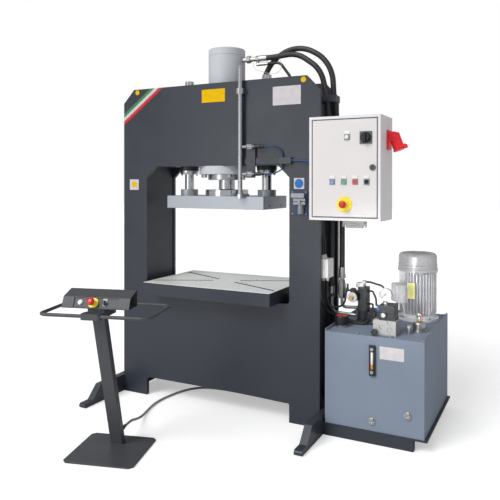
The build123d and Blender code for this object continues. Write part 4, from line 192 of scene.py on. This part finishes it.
class Builder:
    """One node-based material under construction."""

    def __init__(self, name):
        self.material = bpy.data.materials.new(name)
        self.material.use_nodes = True
        self.tree = self.material.node_tree
        self.shader = self.tree.nodes["Principled BSDF"]
        self.coords = self.tree.nodes.new("ShaderNodeTexCoord")

    def add(self, kind, **values):
        """A node with some of its inputs set."""
        node = self.tree.nodes.new(kind)
        for name, value in values.items():
            node.inputs[name.replace("_", " ")].default_value = value
        return node

    def link(self, output, target):
        """A link from one socket to another."""
        self.tree.links.new(output, target)

    def noise(self, scale, detail, roughness=0.55, stretch=(1, 1, 1)):
        """Noise over the object's own coordinates, stretched by a scale for each axis."""
        mapping = self.add("ShaderNodeMapping", Scale=stretch)
        self.link(self.coords.outputs["Object"], mapping.inputs["Vector"])
        texture = self.add("ShaderNodeTexNoise", Scale=scale, Detail=detail, Roughness=roughness)
        self.link(mapping.outputs["Vector"], texture.inputs["Vector"])
        return texture.outputs["Fac"]

    def spread(self, value, low, high, to_low=0.0, to_high=1.0):
        """A value moved from one range to another."""
        node = self.add("ShaderNodeMapRange", From_Min=low, From_Max=high, To_Min=to_low, To_Max=to_high)
        self.link(value, node.inputs["Value"])
        return node.outputs["Result"]

    def mix(self, factor, a, b):
        """A colour between two, each given as a colour or an output."""
        node = self.tree.nodes.new("ShaderNodeMix")
        node.data_type = "RGBA"
        for value, index in ((a, MIX_A), (b, MIX_B)):
            if isinstance(value, tuple):
                node.inputs[index].default_value = value
            else:
                self.link(value, node.inputs[index])
        self.link(factor, node.inputs[MIX_FACTOR])
        return node.outputs[MIX_RESULT]

    def colour(self, output):
        """The surface takes its colour from an output."""
        self.link(output, self.shader.inputs["Base Color"])

    def roughness(self, value, low, high, span=(0.3, 0.7)):
        """The surface's roughness follows a value's span from low to high."""
        self.link(self.spread(value, *span, low, high), self.shader.inputs["Roughness"])

    def relief(self, height, depth, strength, edge=None):
        """Fine bumps of a depth, over edges rounded by a radius where one is given."""
        bump = self.add("ShaderNodeBump", Distance=depth, Strength=strength)
        self.link(height, bump.inputs["Height"])
        if edge is not None:
            bevel = self.add("ShaderNodeBevel", Radius=edge)
            bevel.samples = EDGE_SAMPLES
            self.link(bevel.outputs["Normal"], bump.inputs["Normal"])
        self.link(bump.outputs["Normal"], self.shader.inputs["Normal"])


def paint(name, code, rough, peel, variation):
    """Sprayed paint: fine orange peel, faint cloudiness, dust in the gloss and softened edges."""
    b = Builder(name)
    base = srgb(code)
    clouds = b.spread(b.noise(scale=3.0, detail=5.0), 0.3, 0.7)
    b.colour(b.mix(clouds, tint(base, 1 - variation), tint(base, 1 + variation)))
    b.roughness(b.noise(scale=9.0, detail=6.0), rough - 0.05, rough + 0.07)
    b.relief(b.noise(scale=420.0, detail=2.0), peel, strength=0.5, edge=0.0012)
    return b.material


def steel(name, code, rough, stretch, grain, depth, metal=1.0, stain=0.08):
    """Machined or ground metal with tool marks running across the stretched axis."""
    b = Builder(name)
    base = srgb(code)
    stains = b.spread(b.noise(scale=7.0, detail=6.0, roughness=0.6), 0.35, 0.7)
    lines = b.noise(grain, detail=3.0, roughness=0.6, stretch=stretch)
    glints = b.spread(lines, 0.3, 0.7, to_high=0.35)
    b.colour(b.mix(glints, b.mix(stains, base, tint(base, 1 - stain)), tint(base, 1.15)))
    b.roughness(lines, rough - 0.08, rough + 0.1, span=(0.25, 0.75))
    b.relief(lines, depth, strength=0.6, edge=0.0008)
    b.shader.inputs["Metallic"].default_value = metal
    return b.material


def cast(name, code, rough):
    """Sand or die cast surface with a fine pebble and duller hollows."""
    b = Builder(name)
    base = srgb(code)
    hollows = b.spread(b.noise(scale=24.0, detail=6.0), 0.35, 0.65)
    b.colour(b.mix(hollows, base, tint(base, 0.82)))
    b.roughness(b.noise(scale=40.0, detail=3.0), rough - 0.07, rough + 0.08)
    b.relief(b.noise(scale=900.0, detail=3.0), depth=0.0004, strength=0.5, edge=0.001)
    return b.material


def plastic(name, code, rough, pebble=0.00006, size=1400.0):
    """Moulded plastic with a fine spark-eroded grain."""
    b = Builder(name)
    base = srgb(code)
    flow = b.spread(b.noise(scale=30.0, detail=4.0), 0.35, 0.65)
    b.colour(b.mix(flow, base, tint(base, 1.12, lift=0.002)))
    b.roughness(b.noise(scale=60.0, detail=3.0), rough - 0.05, rough + 0.06)
    b.relief(b.noise(size, detail=2.0), pebble, strength=0.5, edge=0.0006)
    return b.material


def label(name, code, rough=0.50):
    """Printed foil, smoother and with a coarser grain than moulded plastic."""
    return plastic(name, code, rough, pebble=0.00003, size=500.0)


def rubber(name, code, rough):
    """Hose or cable cover with its woven impression and rubbed dust."""
    b = Builder(name)
    base = srgb(code)
    dust = b.spread(b.noise(scale=14.0, detail=6.0), 0.45, 0.75, to_high=0.6)
    b.colour(b.mix(dust, base, tint(base, 1.6, lift=0.01)))
    weave = b.add("ShaderNodeTexVoronoi", Scale=520.0)
    b.link(b.coords.outputs["Object"], weave.inputs["Vector"])
    b.relief(weave.outputs["Distance"], depth=0.0003, strength=0.4)
    b.roughness(b.noise(scale=30.0, detail=3.0), rough - 0.06, rough + 0.1)
    return b.material


def dull(material, specular):
    """A material reflects less than its roughness alone would give."""
    material.node_tree.nodes["Principled BSDF"].inputs["Specular IOR Level"].default_value = specular


# Paints: colour, roughness, depth of the orange peel and cloudiness
frame_paint = paint("frame_paint", "2F343D", 0.35, 0.00016, 0.05)
console_paint = paint("console_paint", "45474C", 0.46, 0.0003, 0.05)
tank_paint = paint("tank_paint", "808B9B", 0.60, 0.00014, 0.04)
cabinet_paint = paint("cabinet_paint", "E3E1E4", 0.50, 0.00022, 0.02)
door_paint = paint("door_paint", "DEDADA", 0.50, 0.00022, 0.02)
cylinder_paint = paint("cylinder_paint", "C3C6CC", 0.38, 0.0001, 0.04)
plate_blue = paint("plate_blue", "2A3C58", 0.40, 0.0001, 0.04)
dull(tank_paint, 0.12)

# Metals: colour, roughness, stretch, grain and depth of the tool marks, metallic share and staining
platen_paint = steel("platen_steel", "A8ADB4", 0.40, (1, 14, 14), 60.0, 0.00003, 0.55, 0.06)
table_steel = steel("machined_steel", "EEEFEF", 0.36, (24, 1, 1), 30.0, 0.00004, 0.12, 0.08)
# Painted shade: a dark steel for the inner faces of the table's slots
slot_painted_shade = steel("slot_painted_shade", "3A3B3C", 0.45, (1, 1, 1), 120.0, 0.00004, 0.4)
ground_steel = steel("ground_steel", "C2C4C8", 0.28, (1, 1, 20), 60.0, 0.00002)
chrome = steel("chromed_rod", "D6D8DC", 0.14, (1, 1, 20), 60.0, 0.00001)
zinc = steel("zinc_plated", "B9BAB8", 0.34, (1, 1, 1), 180.0, 0.00003)
screw_black = steel("black_screws", "2B2D31", 0.45, (1, 1, 1), 220.0, 0.00004, 0.6)
fan_cover_metal = steel("fan_cover_metal", "B6B6B9", 0.26, (1, 1, 10), 40.0, 0.00002, 0.15, 0.05)
manifold_metal = steel("manifold_aluminium", "AEB0AF", 0.34, (1, 1, 12), 90.0, 0.00003, 0.5)
silver_bezel = steel("silver_bezel", "8F9296", 0.36, (1, 1, 1), 160.0, 0.00002, 0.5)
lock_metal = steel("lock_metal", "5F6163", 0.35, (1, 1, 1), 160.0, 0.00002, 0.8)
brass = steel("brass", "C9A35C", 0.30, (1, 1, 1), 160.0, 0.00002)

# Castings, plastics, labels and covers: colour and roughness
motor_metal = cast("motor_aluminium", "E6E6E9", 0.30)
valve_black = cast("valve_black", "24262A", 0.45)
grey_cast = cast("cast_grey", "B9BAB8", 0.48)
black_plastic = plastic("black_plastic", "1B1C1F", 0.38)
red_plastic = plastic("red_plastic", "BE2017", 0.28)
blue_plastic = plastic("blue_plastic", "1C74D8", 0.30)
white_plastic = plastic("white_plastic", "E4E4E2", 0.36)
yellow_plastic = plastic("yellow_plastic", "F0DC38", 0.34)
amber_oil = plastic("amber_oil", "D98A06", 0.12)
dark_plastic = plastic("dark_grey_plastic", "3B3E43", 0.40)
switch_grey = plastic("switch_grey", "5B5F64", 0.42)
pale_blue = plastic("pale_blue", "7A98C8", 0.30)
pale_green = plastic("pale_green", "5FA586", 0.30)
light_red = plastic("light_red", "D6383C", 0.30)
inlet_red = plastic("inlet_red", "EA222A", 0.25)
label_white = label("label_white", "C2BEC1", 0.55)
label_grey = label("label_grey", "C9C4C6")
label_yellow = label("label_yellow", "DCB000", 0.60)
label_blue = label("label_blue", "1766B0")
label_red = label("label_red", "C20F18")
label_green = label("label_green", "2C7A45")
motor_plate_yellow = label("motor_plate_yellow", "FFF6A0", 0.45)
hose_rubber = rubber("hose_rubber", "2A2A2C", 0.46)
cable_cover = rubber("cable_cover", "8E8F93", 0.50)
dark_cable = rubber("dark_cable", "1D1F22", 0.50)
blue_cable = rubber("blue_cable", "173F63", 0.45)
# Partly the door's seal, partly painted shade round the door
seal_and_painted_shade = rubber("seal_and_painted_shade", "5C5552", 0.70)
dull(label_yellow, 0.10)

NODE_MATERIALS = {
    frame_paint: ("front_plate", "rear_plate", "frame_webs", "feet", "tank_tray"),
    console_paint: ("pedestal", "console_box", "guard_rail"),
    tank_paint: ("oil_tank", "tank_lid"),
    cabinet_paint: ("cabinet_case",),
    door_paint: ("cabinet_door",),
    cylinder_paint: ("cylinder",),
    platen_paint: ("platen",),
    table_steel: ("work_table",),
    ground_steel: ("guide_bushes", "stroke_rod", "motor_rotor"),
    chrome: ("piston_rod", "guide_columns"),
    zinc: (
        "steel_fittings", "ball_valve", "filler_neck", "gauge_case", "pressure_knob", "machine_screws",
        "ram_screws",
    ),
    screw_black: ("gauge_needle",),
    motor_metal: ("motor_body", "pump_unit"),
    fan_cover_metal: ("motor_fan_cover",),
    manifold_metal: ("valve_block",),
    valve_black: ("control_valves",),
    grey_cast: ("multipole_connector",),
    white_plastic: ("junction_box",),
    black_plastic: (
        "stroke_sensors", "valve_lever", "door_devices", "main_switch", "door_selector", "switchgear",
        "level_gauge", "filler_cap", "solenoid", "hand_knob", "console_selector", "left_palm_button",
        "right_palm_button",
    ),
    red_plastic: ("door_stop", "console_stop"),
    light_red: ("red_button",),
    inlet_red: ("power_inlet", "inlet_flap"),
    blue_plastic: ("flow_knob",),
    pale_blue: ("blue_button",),
    pale_green: ("green_button",),
    lock_metal: ("door_lock",),
    hose_rubber: ("pressure_hoses",),
    dark_cable: ("signal_cables",),
}


def dress_nodes():
    """Every solid that is shown gets its material."""
    for material, names in NODE_MATERIALS.items():
        for name in names:
            slots = nodes[name].data.materials
            slots.clear()
            slots.append(material)


# Finishes that differ inside one solid
FACING = 0.7


def recolour(node, material, low, high, facing=None, place=press_place):
    """Faces of a node inside a box of places, and looking one way where that is given, get a material."""
    data = nodes[node].data
    if material.name not in data.materials:
        data.materials.append(material)
    index = data.materials.find(material.name)
    for face in data.polygons:
        if facing is not None and face.normal.dot(Vector(facing)) < FACING:
            continue
        if all(a <= c <= b for a, c, b in zip(low, place(face.center), high)):
            face.material_index = index


def recolour_round(node, material, middle, reach, near, far):
    """Faces within a reach of a middle in x and z, between two depths in y, get a material."""
    x, z = middle
    recolour(node, material, (x - reach, near, z - reach), (x + reach, far, z + reach))


def dress_switchgear():
    """Grey devices with two dark rows, on a zinc-plated mounting plate."""
    recolour("switchgear", label_grey, (0.75, -0.20, 1.22), (1.09, -0.1361, 1.78))
    half_row = 0.04
    for z in (1.399, 1.589):
        recolour("switchgear", dark_plastic, (0.75, -0.22, z - half_row), (1.09, -0.1441, z + half_row))
    recolour("switchgear", zinc, (0.74, -0.1361, 1.22), (1.095, -0.119, 1.78))


def dress_table():
    """Frame-painted sides of the machined table, and painted shade inside its slots."""
    outer_x, outer_y = 0.46, 0.31
    inner_x, inner_y = 0.4485, 0.2985
    low_z, high_z = 0.69, 0.775
    for x0, y0, x1, y1 in (
        (-outer_x, -outer_y, outer_x, -inner_y),
        (-outer_x, inner_y, outer_x, outer_y),
        (-outer_x, -outer_y, -inner_x, outer_y),
        (inner_x, -outer_y, outer_x, outer_y),
    ):
        recolour("work_table", frame_paint, (x0, y0, low_z), (x1, y1, high_z))
    # Painted shade: the slots' faces below the table's top get the dark steel
    recolour("work_table", slot_painted_shade, (-0.447, -0.297, 0.70), (0.447, 0.297, 0.7775))


def dress_door():
    """Bezels, legend plates, lamp lens, switch plate and stop plate of the door's devices."""
    node, front = "door_devices", CABINET_FRONT
    half, plate_low, plate_high, proud = 0.016, 0.0165, 0.034, 0.007
    for x, z in (*DOOR_DEVICES, DOOR_LAMP):
        recolour_round(node, silver_bezel, (x, z), half, front - proud, front)
        plate = ((x - half, front - proud, z + plate_low), (x + half, front, z + plate_high))
        recolour(node, white_plastic, *plate)
    recolour_round(node, white_plastic, DOOR_LAMP, 0.012, front - 0.02, front - 0.0051)
    recolour_round(node, switch_grey, DOOR_SWITCH, 0.034, front - 0.0065, front)
    recolour_round(node, yellow_plastic, DOOR_STOP, 0.044, front - 0.015, front)


def dress_hydraulics():
    """Screws of the level gauge, dial, solenoid's band and stem, and the filler cap's top."""
    x, z = LEVEL
    screw_rise = 0.062
    for height in (z - screw_rise, z + screw_rise):
        recolour_round("level_gauge", zinc, (x, height), 0.01, TANK_FRONT - 0.022, TANK_FRONT - 0.0161)
    recolour("gauge_case", label_white, (1.055, -0.159, 0.77), (1.121, -0.1555, 0.842), (0, -1, 0))
    recolour("solenoid", label_white, (0.815, -0.0045, 0.70), (0.88, 0.0045, 0.79))
    recolour("solenoid", brass, (0.83, -0.03, 0.72), (0.87, -0.0046, 0.76))
    recolour("filler_cap", red_plastic, (0.77, -0.13, 0.648), (0.86, -0.04, 0.66), (0, 0, 1))


def dress_sensors():
    """Rail, switch fronts, plug and interlock plate of the stroke switches, and their blue leads."""
    recolour("stroke_sensors", frame_paint, (0.22, -0.20, 1.44), (0.46, -0.17, 1.67))
    half_switch = 0.017
    for z in (1.640, 1.474):
        low, high = (0.20, -0.216, z - half_switch), (0.30, -0.1895, z + half_switch)
        recolour("stroke_sensors", silver_bezel, low, high)
    recolour("stroke_sensors", dark_plastic, (0.455, -0.20, 1.53), (0.54, -0.17, 1.58))
    recolour("stroke_sensors", plate_blue, (0.53, -0.1752, 1.22), (0.64, -0.17, 1.38))
    recolour("stroke_sensors", silver_bezel, (0.53, -0.22, 1.22), (0.64, -0.1753, 1.38))
    recolour("signal_cables", blue_cable, (0.35, -0.22, 1.44), (0.74, -0.16, 1.68))


# The stop's plate, the selector's ring and legend plate, and the lamp's ring and lens, on the panel's axes
PANEL_REGIONS = (
    # The stop plate's lowest rim faces are left out and keep the console's dark paint: painted shade under
    # the plate
    (yellow_plastic, (-0.043, -0.0261, 0.002), (0.013, 0.0272, 0.012)),
    (silver_bezel, (0.033, -0.0145, 0.0002), (0.063, 0.0145, 0.004)),
    (label_white, (0.035, 0.0148, 0.0002), (0.061, 0.0235, 0.003)),
    (silver_bezel, (-0.099, -0.0145, 0.0002), (-0.069, 0.0145, 0.0031)),
    (white_plastic, (-0.095, -0.0105, 0.0032), (-0.073, 0.0105, 0.010)),
)


def dress_panel():
    """Plates, rings and lens on the console's sloping panel."""
    for material, low, high in PANEL_REGIONS:
        recolour("console_box", material, low, high, place=panel_place)


# Pieces that the solids leave to this script
SKIN = 0.0007
UP = (0, 0, 1)
FORWARD = (0, -1, 0)


def solid(name, bm, material, body="machine", smooth=False):
    """A bmesh becomes a piece that moves with a body, with its normals turned outward."""
    bmesh.ops.recalc_face_normals(bm, faces=bm.faces[:])
    for face in bm.faces:
        face.smooth = smooth
    mesh = bpy.data.meshes.new(name)
    bm.to_mesh(mesh)
    bm.free()
    mesh.materials.append(material)
    thing = link_object(name, mesh)
    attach(thing, body)


def prism(name, outline, front, back, material):
    """An outline of x and z points drawn through from a front to a back face."""
    bm = bmesh.new()
    near = [bm.verts.new(at(x, front, z)) for x, z in outline]
    far = [bm.verts.new(at(x, back, z)) for x, z in outline]
    bm.faces.new(near)
    bm.faces.new(far[::-1])
    for i in range(len(outline)):
        j = (i + 1) % len(outline)
        bm.faces.new((near[j], near[i], far[i], far[j]))
    solid(name, bm, material)


def field(name, outline, face, material, layer=0):
    """A thin colour field on a face, or on the field that lies on it."""
    prism(name, outline, face - (layer + 1) * SKIN, face - layer * SKIN, material)


def rounded(x0, x1, z0, z1, corner, steps=5):
    """Outline of a rectangle with rounded corners."""
    points = []
    for cx, cz, start in (
        (x1 - corner, z1 - corner, 0),
        (x0 + corner, z1 - corner, 90),
        (x0 + corner, z0 + corner, 180),
        (x1 - corner, z0 + corner, 270),
    ):
        for i in range(steps + 1):
            angle = math.radians(start + 90 * i / steps)
            points.append((cx + corner * math.cos(angle), cz + corner * math.sin(angle)))
    return points


def ring_points(x, z, radius, count=40):
    """Outline of a circle."""
    angles = [2 * math.pi * i / count for i in range(count)]
    return [(x + radius * math.cos(angle), z + radius * math.sin(angle)) for angle in angles]


def lathe(name, profile, origin, axis, material, body="machine", count=32, closed=False):
    """A profile of radius and height points turned about an axis: a capped body, or a ring where closed."""
    turn = Vector(UP).rotation_difference(Vector(axis)).to_matrix()
    bm = bmesh.new()
    rings = []
    for radius, height in profile:
        outline = ring_points(0.0, 0.0, radius, count)
        rings.append([bm.verts.new(origin + turn @ Vector((u, v, height))) for u, v in outline])
    following = rings[1:] + rings[:1] if closed else rings[1:]
    for low, high in zip(rings, following):
        for i in range(count):
            j = (i + 1) % count
            bm.faces.new((low[i], low[j], high[j], high[i]))
    if not closed:
        bm.faces.new(rings[0][::-1])
        bm.faces.new(rings[-1])
    solid(name, bm, material, body, smooth=True)


# Name, outline, material and layer of each colour field on the front plate
FRONT_FIELDS = (
    ("yellow_field", rounded(-0.088, 0.081, 1.930, 2.012, 0.003), label_yellow, 0),
    ("white_field", rounded(0.410, 0.591, 1.884, 1.996, 0.004), label_white, 0),
    ("left_field", rounded(-0.660, -0.586, 1.373, 1.444, 0.003), label_white, 0),
    ("left_field_band", rounded(-0.642, -0.604, 1.390, 1.428, 0.002), label_yellow, 1),
    ("sign_field", rounded(0.548, 0.613, 1.385, 1.450, 0.003), label_white, 0),
    ("sign_disc", ring_points(0.5805, 1.4175, 0.027), label_blue, 1),
    ("lifting_mark_0", ring_points(-0.596, 2.029, 0.0165), label_yellow, 0),
    ("lifting_mark_1", ring_points(0.607, 2.026, 0.0165), label_yellow, 0),
)


def make_labels():
    """Plain colour fields where the machine carries signs, and the stripes across its corner."""
    for name, outline, material, layer in FRONT_FIELDS:
        field(name, outline, FRONT_Y, material, layer)
    left, top = -0.7095, 2.0495
    first_x, first_z = -0.490, 1.889
    step_x, step_z = 0.034, 0.025
    for i, material in enumerate((label_green, label_white, label_red)):
        outer_x, inner_x = first_x + step_x * i, first_x + step_x * (i + 1)
        outer_z, inner_z = first_z - step_z * i, first_z - step_z * (i + 1)
        band = [(left, inner_z), (inner_x, top), (outer_x, top), (left, outer_z)]
        field(f"corner_band_{i}", band, FRONT_Y, material)
    field("tank_field", rounded(1.077, 1.208, 0.469, 0.537, 0.002), TANK_FRONT, label_grey)


def make_motor_plate():
    """A bare plate bent round the motor's fins."""
    x, y = MOTOR
    start, step, stations = 249, 3, 9
    bm = bmesh.new()
    columns = []
    for i in range(stations):
        angle = math.radians(start + step * i)
        column = []
        for radius in (0.1115, 0.1130):
            place = (x + radius * math.cos(angle), y + radius * math.sin(angle))
            column += [bm.verts.new(at(*place, z)) for z in (0.722, 0.818)]
        columns.append(column)
    for a, b in zip(columns, columns[1:]):
        for i, j in ((0, 1), (1, 3), (3, 2), (2, 0)):
            bm.faces.new((a[i], b[i], b[j], a[j]))
    for column in (columns[0], columns[-1]):
        bm.faces.new((column[0], column[1], column[3], column[2]))
    solid("motor_plate", bm, motor_plate_yellow)


def make_sight_glass():
    """Sight tube of the oil level gauge, clear above the oil."""
    x, z = LEVEL
    origin = at(x, TANK_FRONT - 0.0125, z)
    oil = [(0.0060, -0.046), (0.0072, -0.044), (0.0072, -0.0205), (0.0068, -0.020)]
    glass = [(0.0068, -0.020), (0.0072, -0.0195), (0.0072, 0.044), (0.0060, 0.046)]
    lathe("level_oil", oil, origin, UP, amber_oil)
    lathe("level_glass", glass, origin, UP, white_plastic)


def make_dial_marks():
    """Marks round the pressure gauge's dial."""
    x, y, z = GAUGE
    first, step, count = 225, 27, 11
    inner, outer, half_width, proud = 0.0235, 0.0285, 0.0006, 0.0004
    for i in range(count):
        angle = math.radians(first - step * i)
        across = Vector((-math.sin(angle), 0, math.cos(angle))) * half_width
        along = Vector((math.cos(angle), 0, math.sin(angle)))
        ends = ((inner, -1), (outer, -1), (outer, 1), (inner, 1))
        corners = [along * radius + across * side for radius, side in ends]
        prism(f"dial_mark_{i}", [(x + c.x, z + c.z) for c in corners], y - proud, y, screw_black)


def make_gasket():
    """Dark strips round the cabinet's door, on the inner edge of its border by the gap: partly the door's
    seal, partly painted shade of the gap.
    """
    x0, x1, z0, z1 = CABINET
    x0, x1 = x0 + CABINET_BORDER, x1 - CABINET_BORDER
    z0, z1 = z0 + CABINET_BORDER, z1 - CABINET_BORDER
    # Width of the dark strips on the border, which are partly seal and partly painted shade
    lip = 0.0035
    for side, a, b, c, d in (
        ("left", x0 - lip, x0, z0 - lip, z1 + lip),
        ("right", x1, x1 + lip, z0 - lip, z1 + lip),
        ("low", x0, x1, z0 - lip, z0),
        ("high", x0, x1, z1, z1 + lip),
    ):
        outline = [(a, c), (b, c), (b, d), (a, d)]
        field(f"door_seal_and_shade_{side}", outline, CABINET_FRONT, seal_and_painted_shade)


def make_cowl_beads():
    """Two stiffening beads pressed round the motor's fan cover, which narrows upward."""
    cover_radius, cover_low, taper = 0.1158, 0.899, 0.02
    section = (
        (0.0, -0.0035), (0.0012, -0.0018), (0.0016, 0.0), (0.0012, 0.0018), (0.0, 0.0035), (-0.001, 0.0),
    )
    for i, height in enumerate((0.905, 0.922)):
        radius = cover_radius - taper * (height - cover_low)
        profile = [(radius + out, height + up) for out, up in section]
        lathe(f"cowl_bead_{i}", profile, at(*MOTOR, 0.0), UP, fan_cover_metal, count=64, closed=True)


def make_indicator():
    """Round indicator on the return filter: stem, case and a dial with two plain colour fields."""
    x, z = 1.240, 0.671
    stem_foot = 0.638
    stem = [(0.0075, 0.0), (0.0075, 0.012), (0.005, 0.014), (0.005, 0.020)]
    case = [
        (0.0150, -0.010), (0.0185, -0.008), (0.0190, 0.008), (0.0180, 0.0105), (0.0165, 0.0105),
        (0.0160, 0.0085),
    ]
    lathe("indicator_stem", stem, at(x, 0.0, stem_foot), UP, brass)
    lathe("indicator_case", case, at(x, 0.0, z), FORWARD, silver_bezel)
    face, dial, sector = -0.0086, 0.0005, 0.0009
    dial_radius, sector_radius = 0.0158, 0.0145
    prism("indicator_dial", ring_points(x, z, dial_radius), face - dial, face, white_plastic)
    for name, start, material in (("red", -50, label_red), ("green", 130, label_green)):
        outline = [(x, z)]
        for i in range(13):
            angle = math.radians(start + 10 * i)
            outline.append((x + sector_radius * math.cos(angle), z + sector_radius * math.sin(angle)))
        prism(f"indicator_{name}", outline, face - sector, face - dial, material)


def make_web_skirts():
    """Lower ends of the frame's outer webs, down to just above the floor."""
    thickness, low, high, half_depth = 0.015, 0.015, 0.1199, 0.1459
    for side, x in (("left", -0.655), ("right", 0.640)):
        outline = [(x, low), (x + thickness, low), (x + thickness, high), (x, high)]
        prism(f"web_skirt_{side}", outline, -half_depth, half_depth, frame_paint)


def make_switch_ring():
    """Raised ring round the main switch's knob."""
    x, z = DOOR_SWITCH
    profile = [(0.0300, 0.0), (0.0300, 0.0018), (0.0270, 0.0022), (0.0255, 0.0018), (0.0255, 0.0)]
    origin = at(x, CABINET_FRONT - 0.006, z)
    lathe("switch_ring", profile, origin, FORWARD, lock_metal, "door", count=40, closed=True)


def make_strain_reliefs():
    """Tapered sleeves where the console's cable leaves the post and enters the bed."""
    profile = [
        (0.0086, 0.0), (0.0115, 0.001), (0.0112, 0.008), (0.0100, 0.010), (0.0104, 0.014), (0.0092, 0.020),
        (0.0086, 0.030),
    ]
    post_face, bed_face, bed_share = 0.0326, 0.098, 0.6
    start = at(*CABLE_POINTS[0])
    along = (at(*CABLE_POINTS[1]) - start).normalized()
    lathe("post_strain_relief", profile, start + along * post_face, along, dark_plastic)
    end_x, end_y, _ = CABLE_POINTS[-1]
    short = [(radius, height * bed_share) for radius, height in profile]
    lathe("bed_strain_relief", short, at(end_x, end_y, bed_face), (0, 0, -1), dark_plastic)


def make_safety_wire():
    """Thin wire loop that secures the upper hose end to the cylinder's fitting."""
    points = (
        (0.200, -0.012, 2.196), (0.200, -0.020, 2.168), (0.218, -0.021, 2.143), (0.266, -0.022, 2.124),
        (0.322, -0.022, 2.104), (0.372, -0.022, 2.106), (0.399, -0.020, 2.130), (0.398, -0.016, 2.168),
        (0.384, -0.012, 2.200),
    )
    loop = round_curve("safety_wire", points, 0.0014, label_grey, along=12, around=3)
    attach(loop, "machine")


# Floor, world and lamps
FLOOR_HALF = 30.0
FLOOR_LEVEL = -0.0005
FLOOR_GREY = 0.80
FLOOR_GLOW = 0.42
AMBIENT, BACKDROP = 0.42, 1.0

# Name, turn and tilt in degrees, strength and the sun's angular size in degrees
SUN_LAMPS = (
    ("key", -22.0, 48.0, 1.9, 30.0),
    ("side", 62.0, 60.0, 0.12, 50.0),
)
# Name, place, aim, width and height, power in watts and spread in degrees
AREA_LAMPS = (
    ("sheen", (-1.7, -4.6, 1.5), (0.45, -0.17, 1.3), (1.8, 2.6), 32.0, 180.0),
    ("motor_fill", (0.75, -2.4, 1.05), (1.165, 0.33, 0.86), (0.35, 0.35), 0.7, 20.0),
)


def make_floor():
    """Pale floor that keeps the machine's shadow."""
    mesh = bpy.data.meshes.new("floor")
    half = FLOOR_HALF
    corners = [(-half, -half, 0), (half, -half, 0), (half, half, 0), (-half, half, 0)]
    mesh.from_pydata(corners, [], [(0, 1, 2, 3)])
    floor = link_object("floor", mesh)
    floor.location.z = FLOOR_LEVEL
    material = bpy.data.materials.new("floor_white")
    material.use_nodes = True
    tree = material.node_tree
    tree.nodes.remove(tree.nodes["Principled BSDF"])
    output = tree.nodes["Material Output"]
    diffuse = tree.nodes.new("ShaderNodeBsdfDiffuse")
    diffuse.inputs["Color"].default_value = (FLOOR_GREY, FLOOR_GREY, FLOOR_GREY, 1)
    glow = tree.nodes.new("ShaderNodeEmission")
    glow.inputs["Color"].default_value = (1, 1, 1, 1)
    path = tree.nodes.new("ShaderNodeLightPath")
    level = tree.nodes.new("ShaderNodeMath")
    level.operation = "MULTIPLY"
    level.inputs[1].default_value = FLOOR_GLOW
    tree.links.new(path.outputs["Is Camera Ray"], level.inputs[0])
    tree.links.new(level.outputs[0], glow.inputs["Strength"])
    both = tree.nodes.new("ShaderNodeAddShader")
    tree.links.new(diffuse.outputs[0], both.inputs[0])
    tree.links.new(glow.outputs[0], both.inputs[1])
    tree.links.new(both.outputs[0], output.inputs["Surface"])
    mesh.materials.append(material)


def make_world():
    """White to the camera, and an even soft light for everything else."""
    world = bpy.data.worlds.new("world")
    bpy.context.scene.world = world
    world.use_nodes = True
    tree = world.node_tree
    background = tree.nodes["Background"]
    background.inputs["Color"].default_value = (1, 1, 1, 1)
    path = tree.nodes.new("ShaderNodeLightPath")
    level = tree.nodes.new("ShaderNodeMapRange")
    level.inputs["To Min"].default_value = AMBIENT
    level.inputs["To Max"].default_value = BACKDROP
    tree.links.new(path.outputs["Is Camera Ray"], level.inputs["Value"])
    tree.links.new(level.outputs["Result"], background.inputs["Strength"])


def make_lamps():
    """Two broad suns from the left and right, an area lamp for sheen and a small one for the motor."""
    for name, turn, tilt, strength, size in SUN_LAMPS:
        data = bpy.data.lights.new(name, "SUN")
        data.energy = strength
        data.angle = math.radians(size)
        lamp = link_object(name, data)
        lamp.rotation_euler = (math.radians(tilt), 0, math.radians(turn))
    for name, place, aim, (width, height), power, spread in AREA_LAMPS:
        data = bpy.data.lights.new(name, "AREA")
        data.shape = "RECTANGLE"
        data.size, data.size_y = width, height
        data.energy = power
        data.spread = math.radians(spread)
        lamp = link_object(name, data)
        lamp.location = at(*place)
        lamp.rotation_euler = (at(*aim) - lamp.location).to_track_quat("-Z", "Y").to_euler()


make_camera()
make_console_cable()
dress_nodes()
dress_switchgear()
dress_table()
dress_door()
dress_hydraulics()
dress_sensors()
dress_panel()
make_labels()
make_motor_plate()
make_sight_glass()
make_dial_marks()
make_gasket()
make_cowl_beads()
make_indicator()
make_web_skirts()
make_switch_ring()
make_strain_reliefs()
make_safety_wire()
make_floor()
make_world()
make_lamps()
bpy.context.scene.view_settings.view_transform = "Standard"
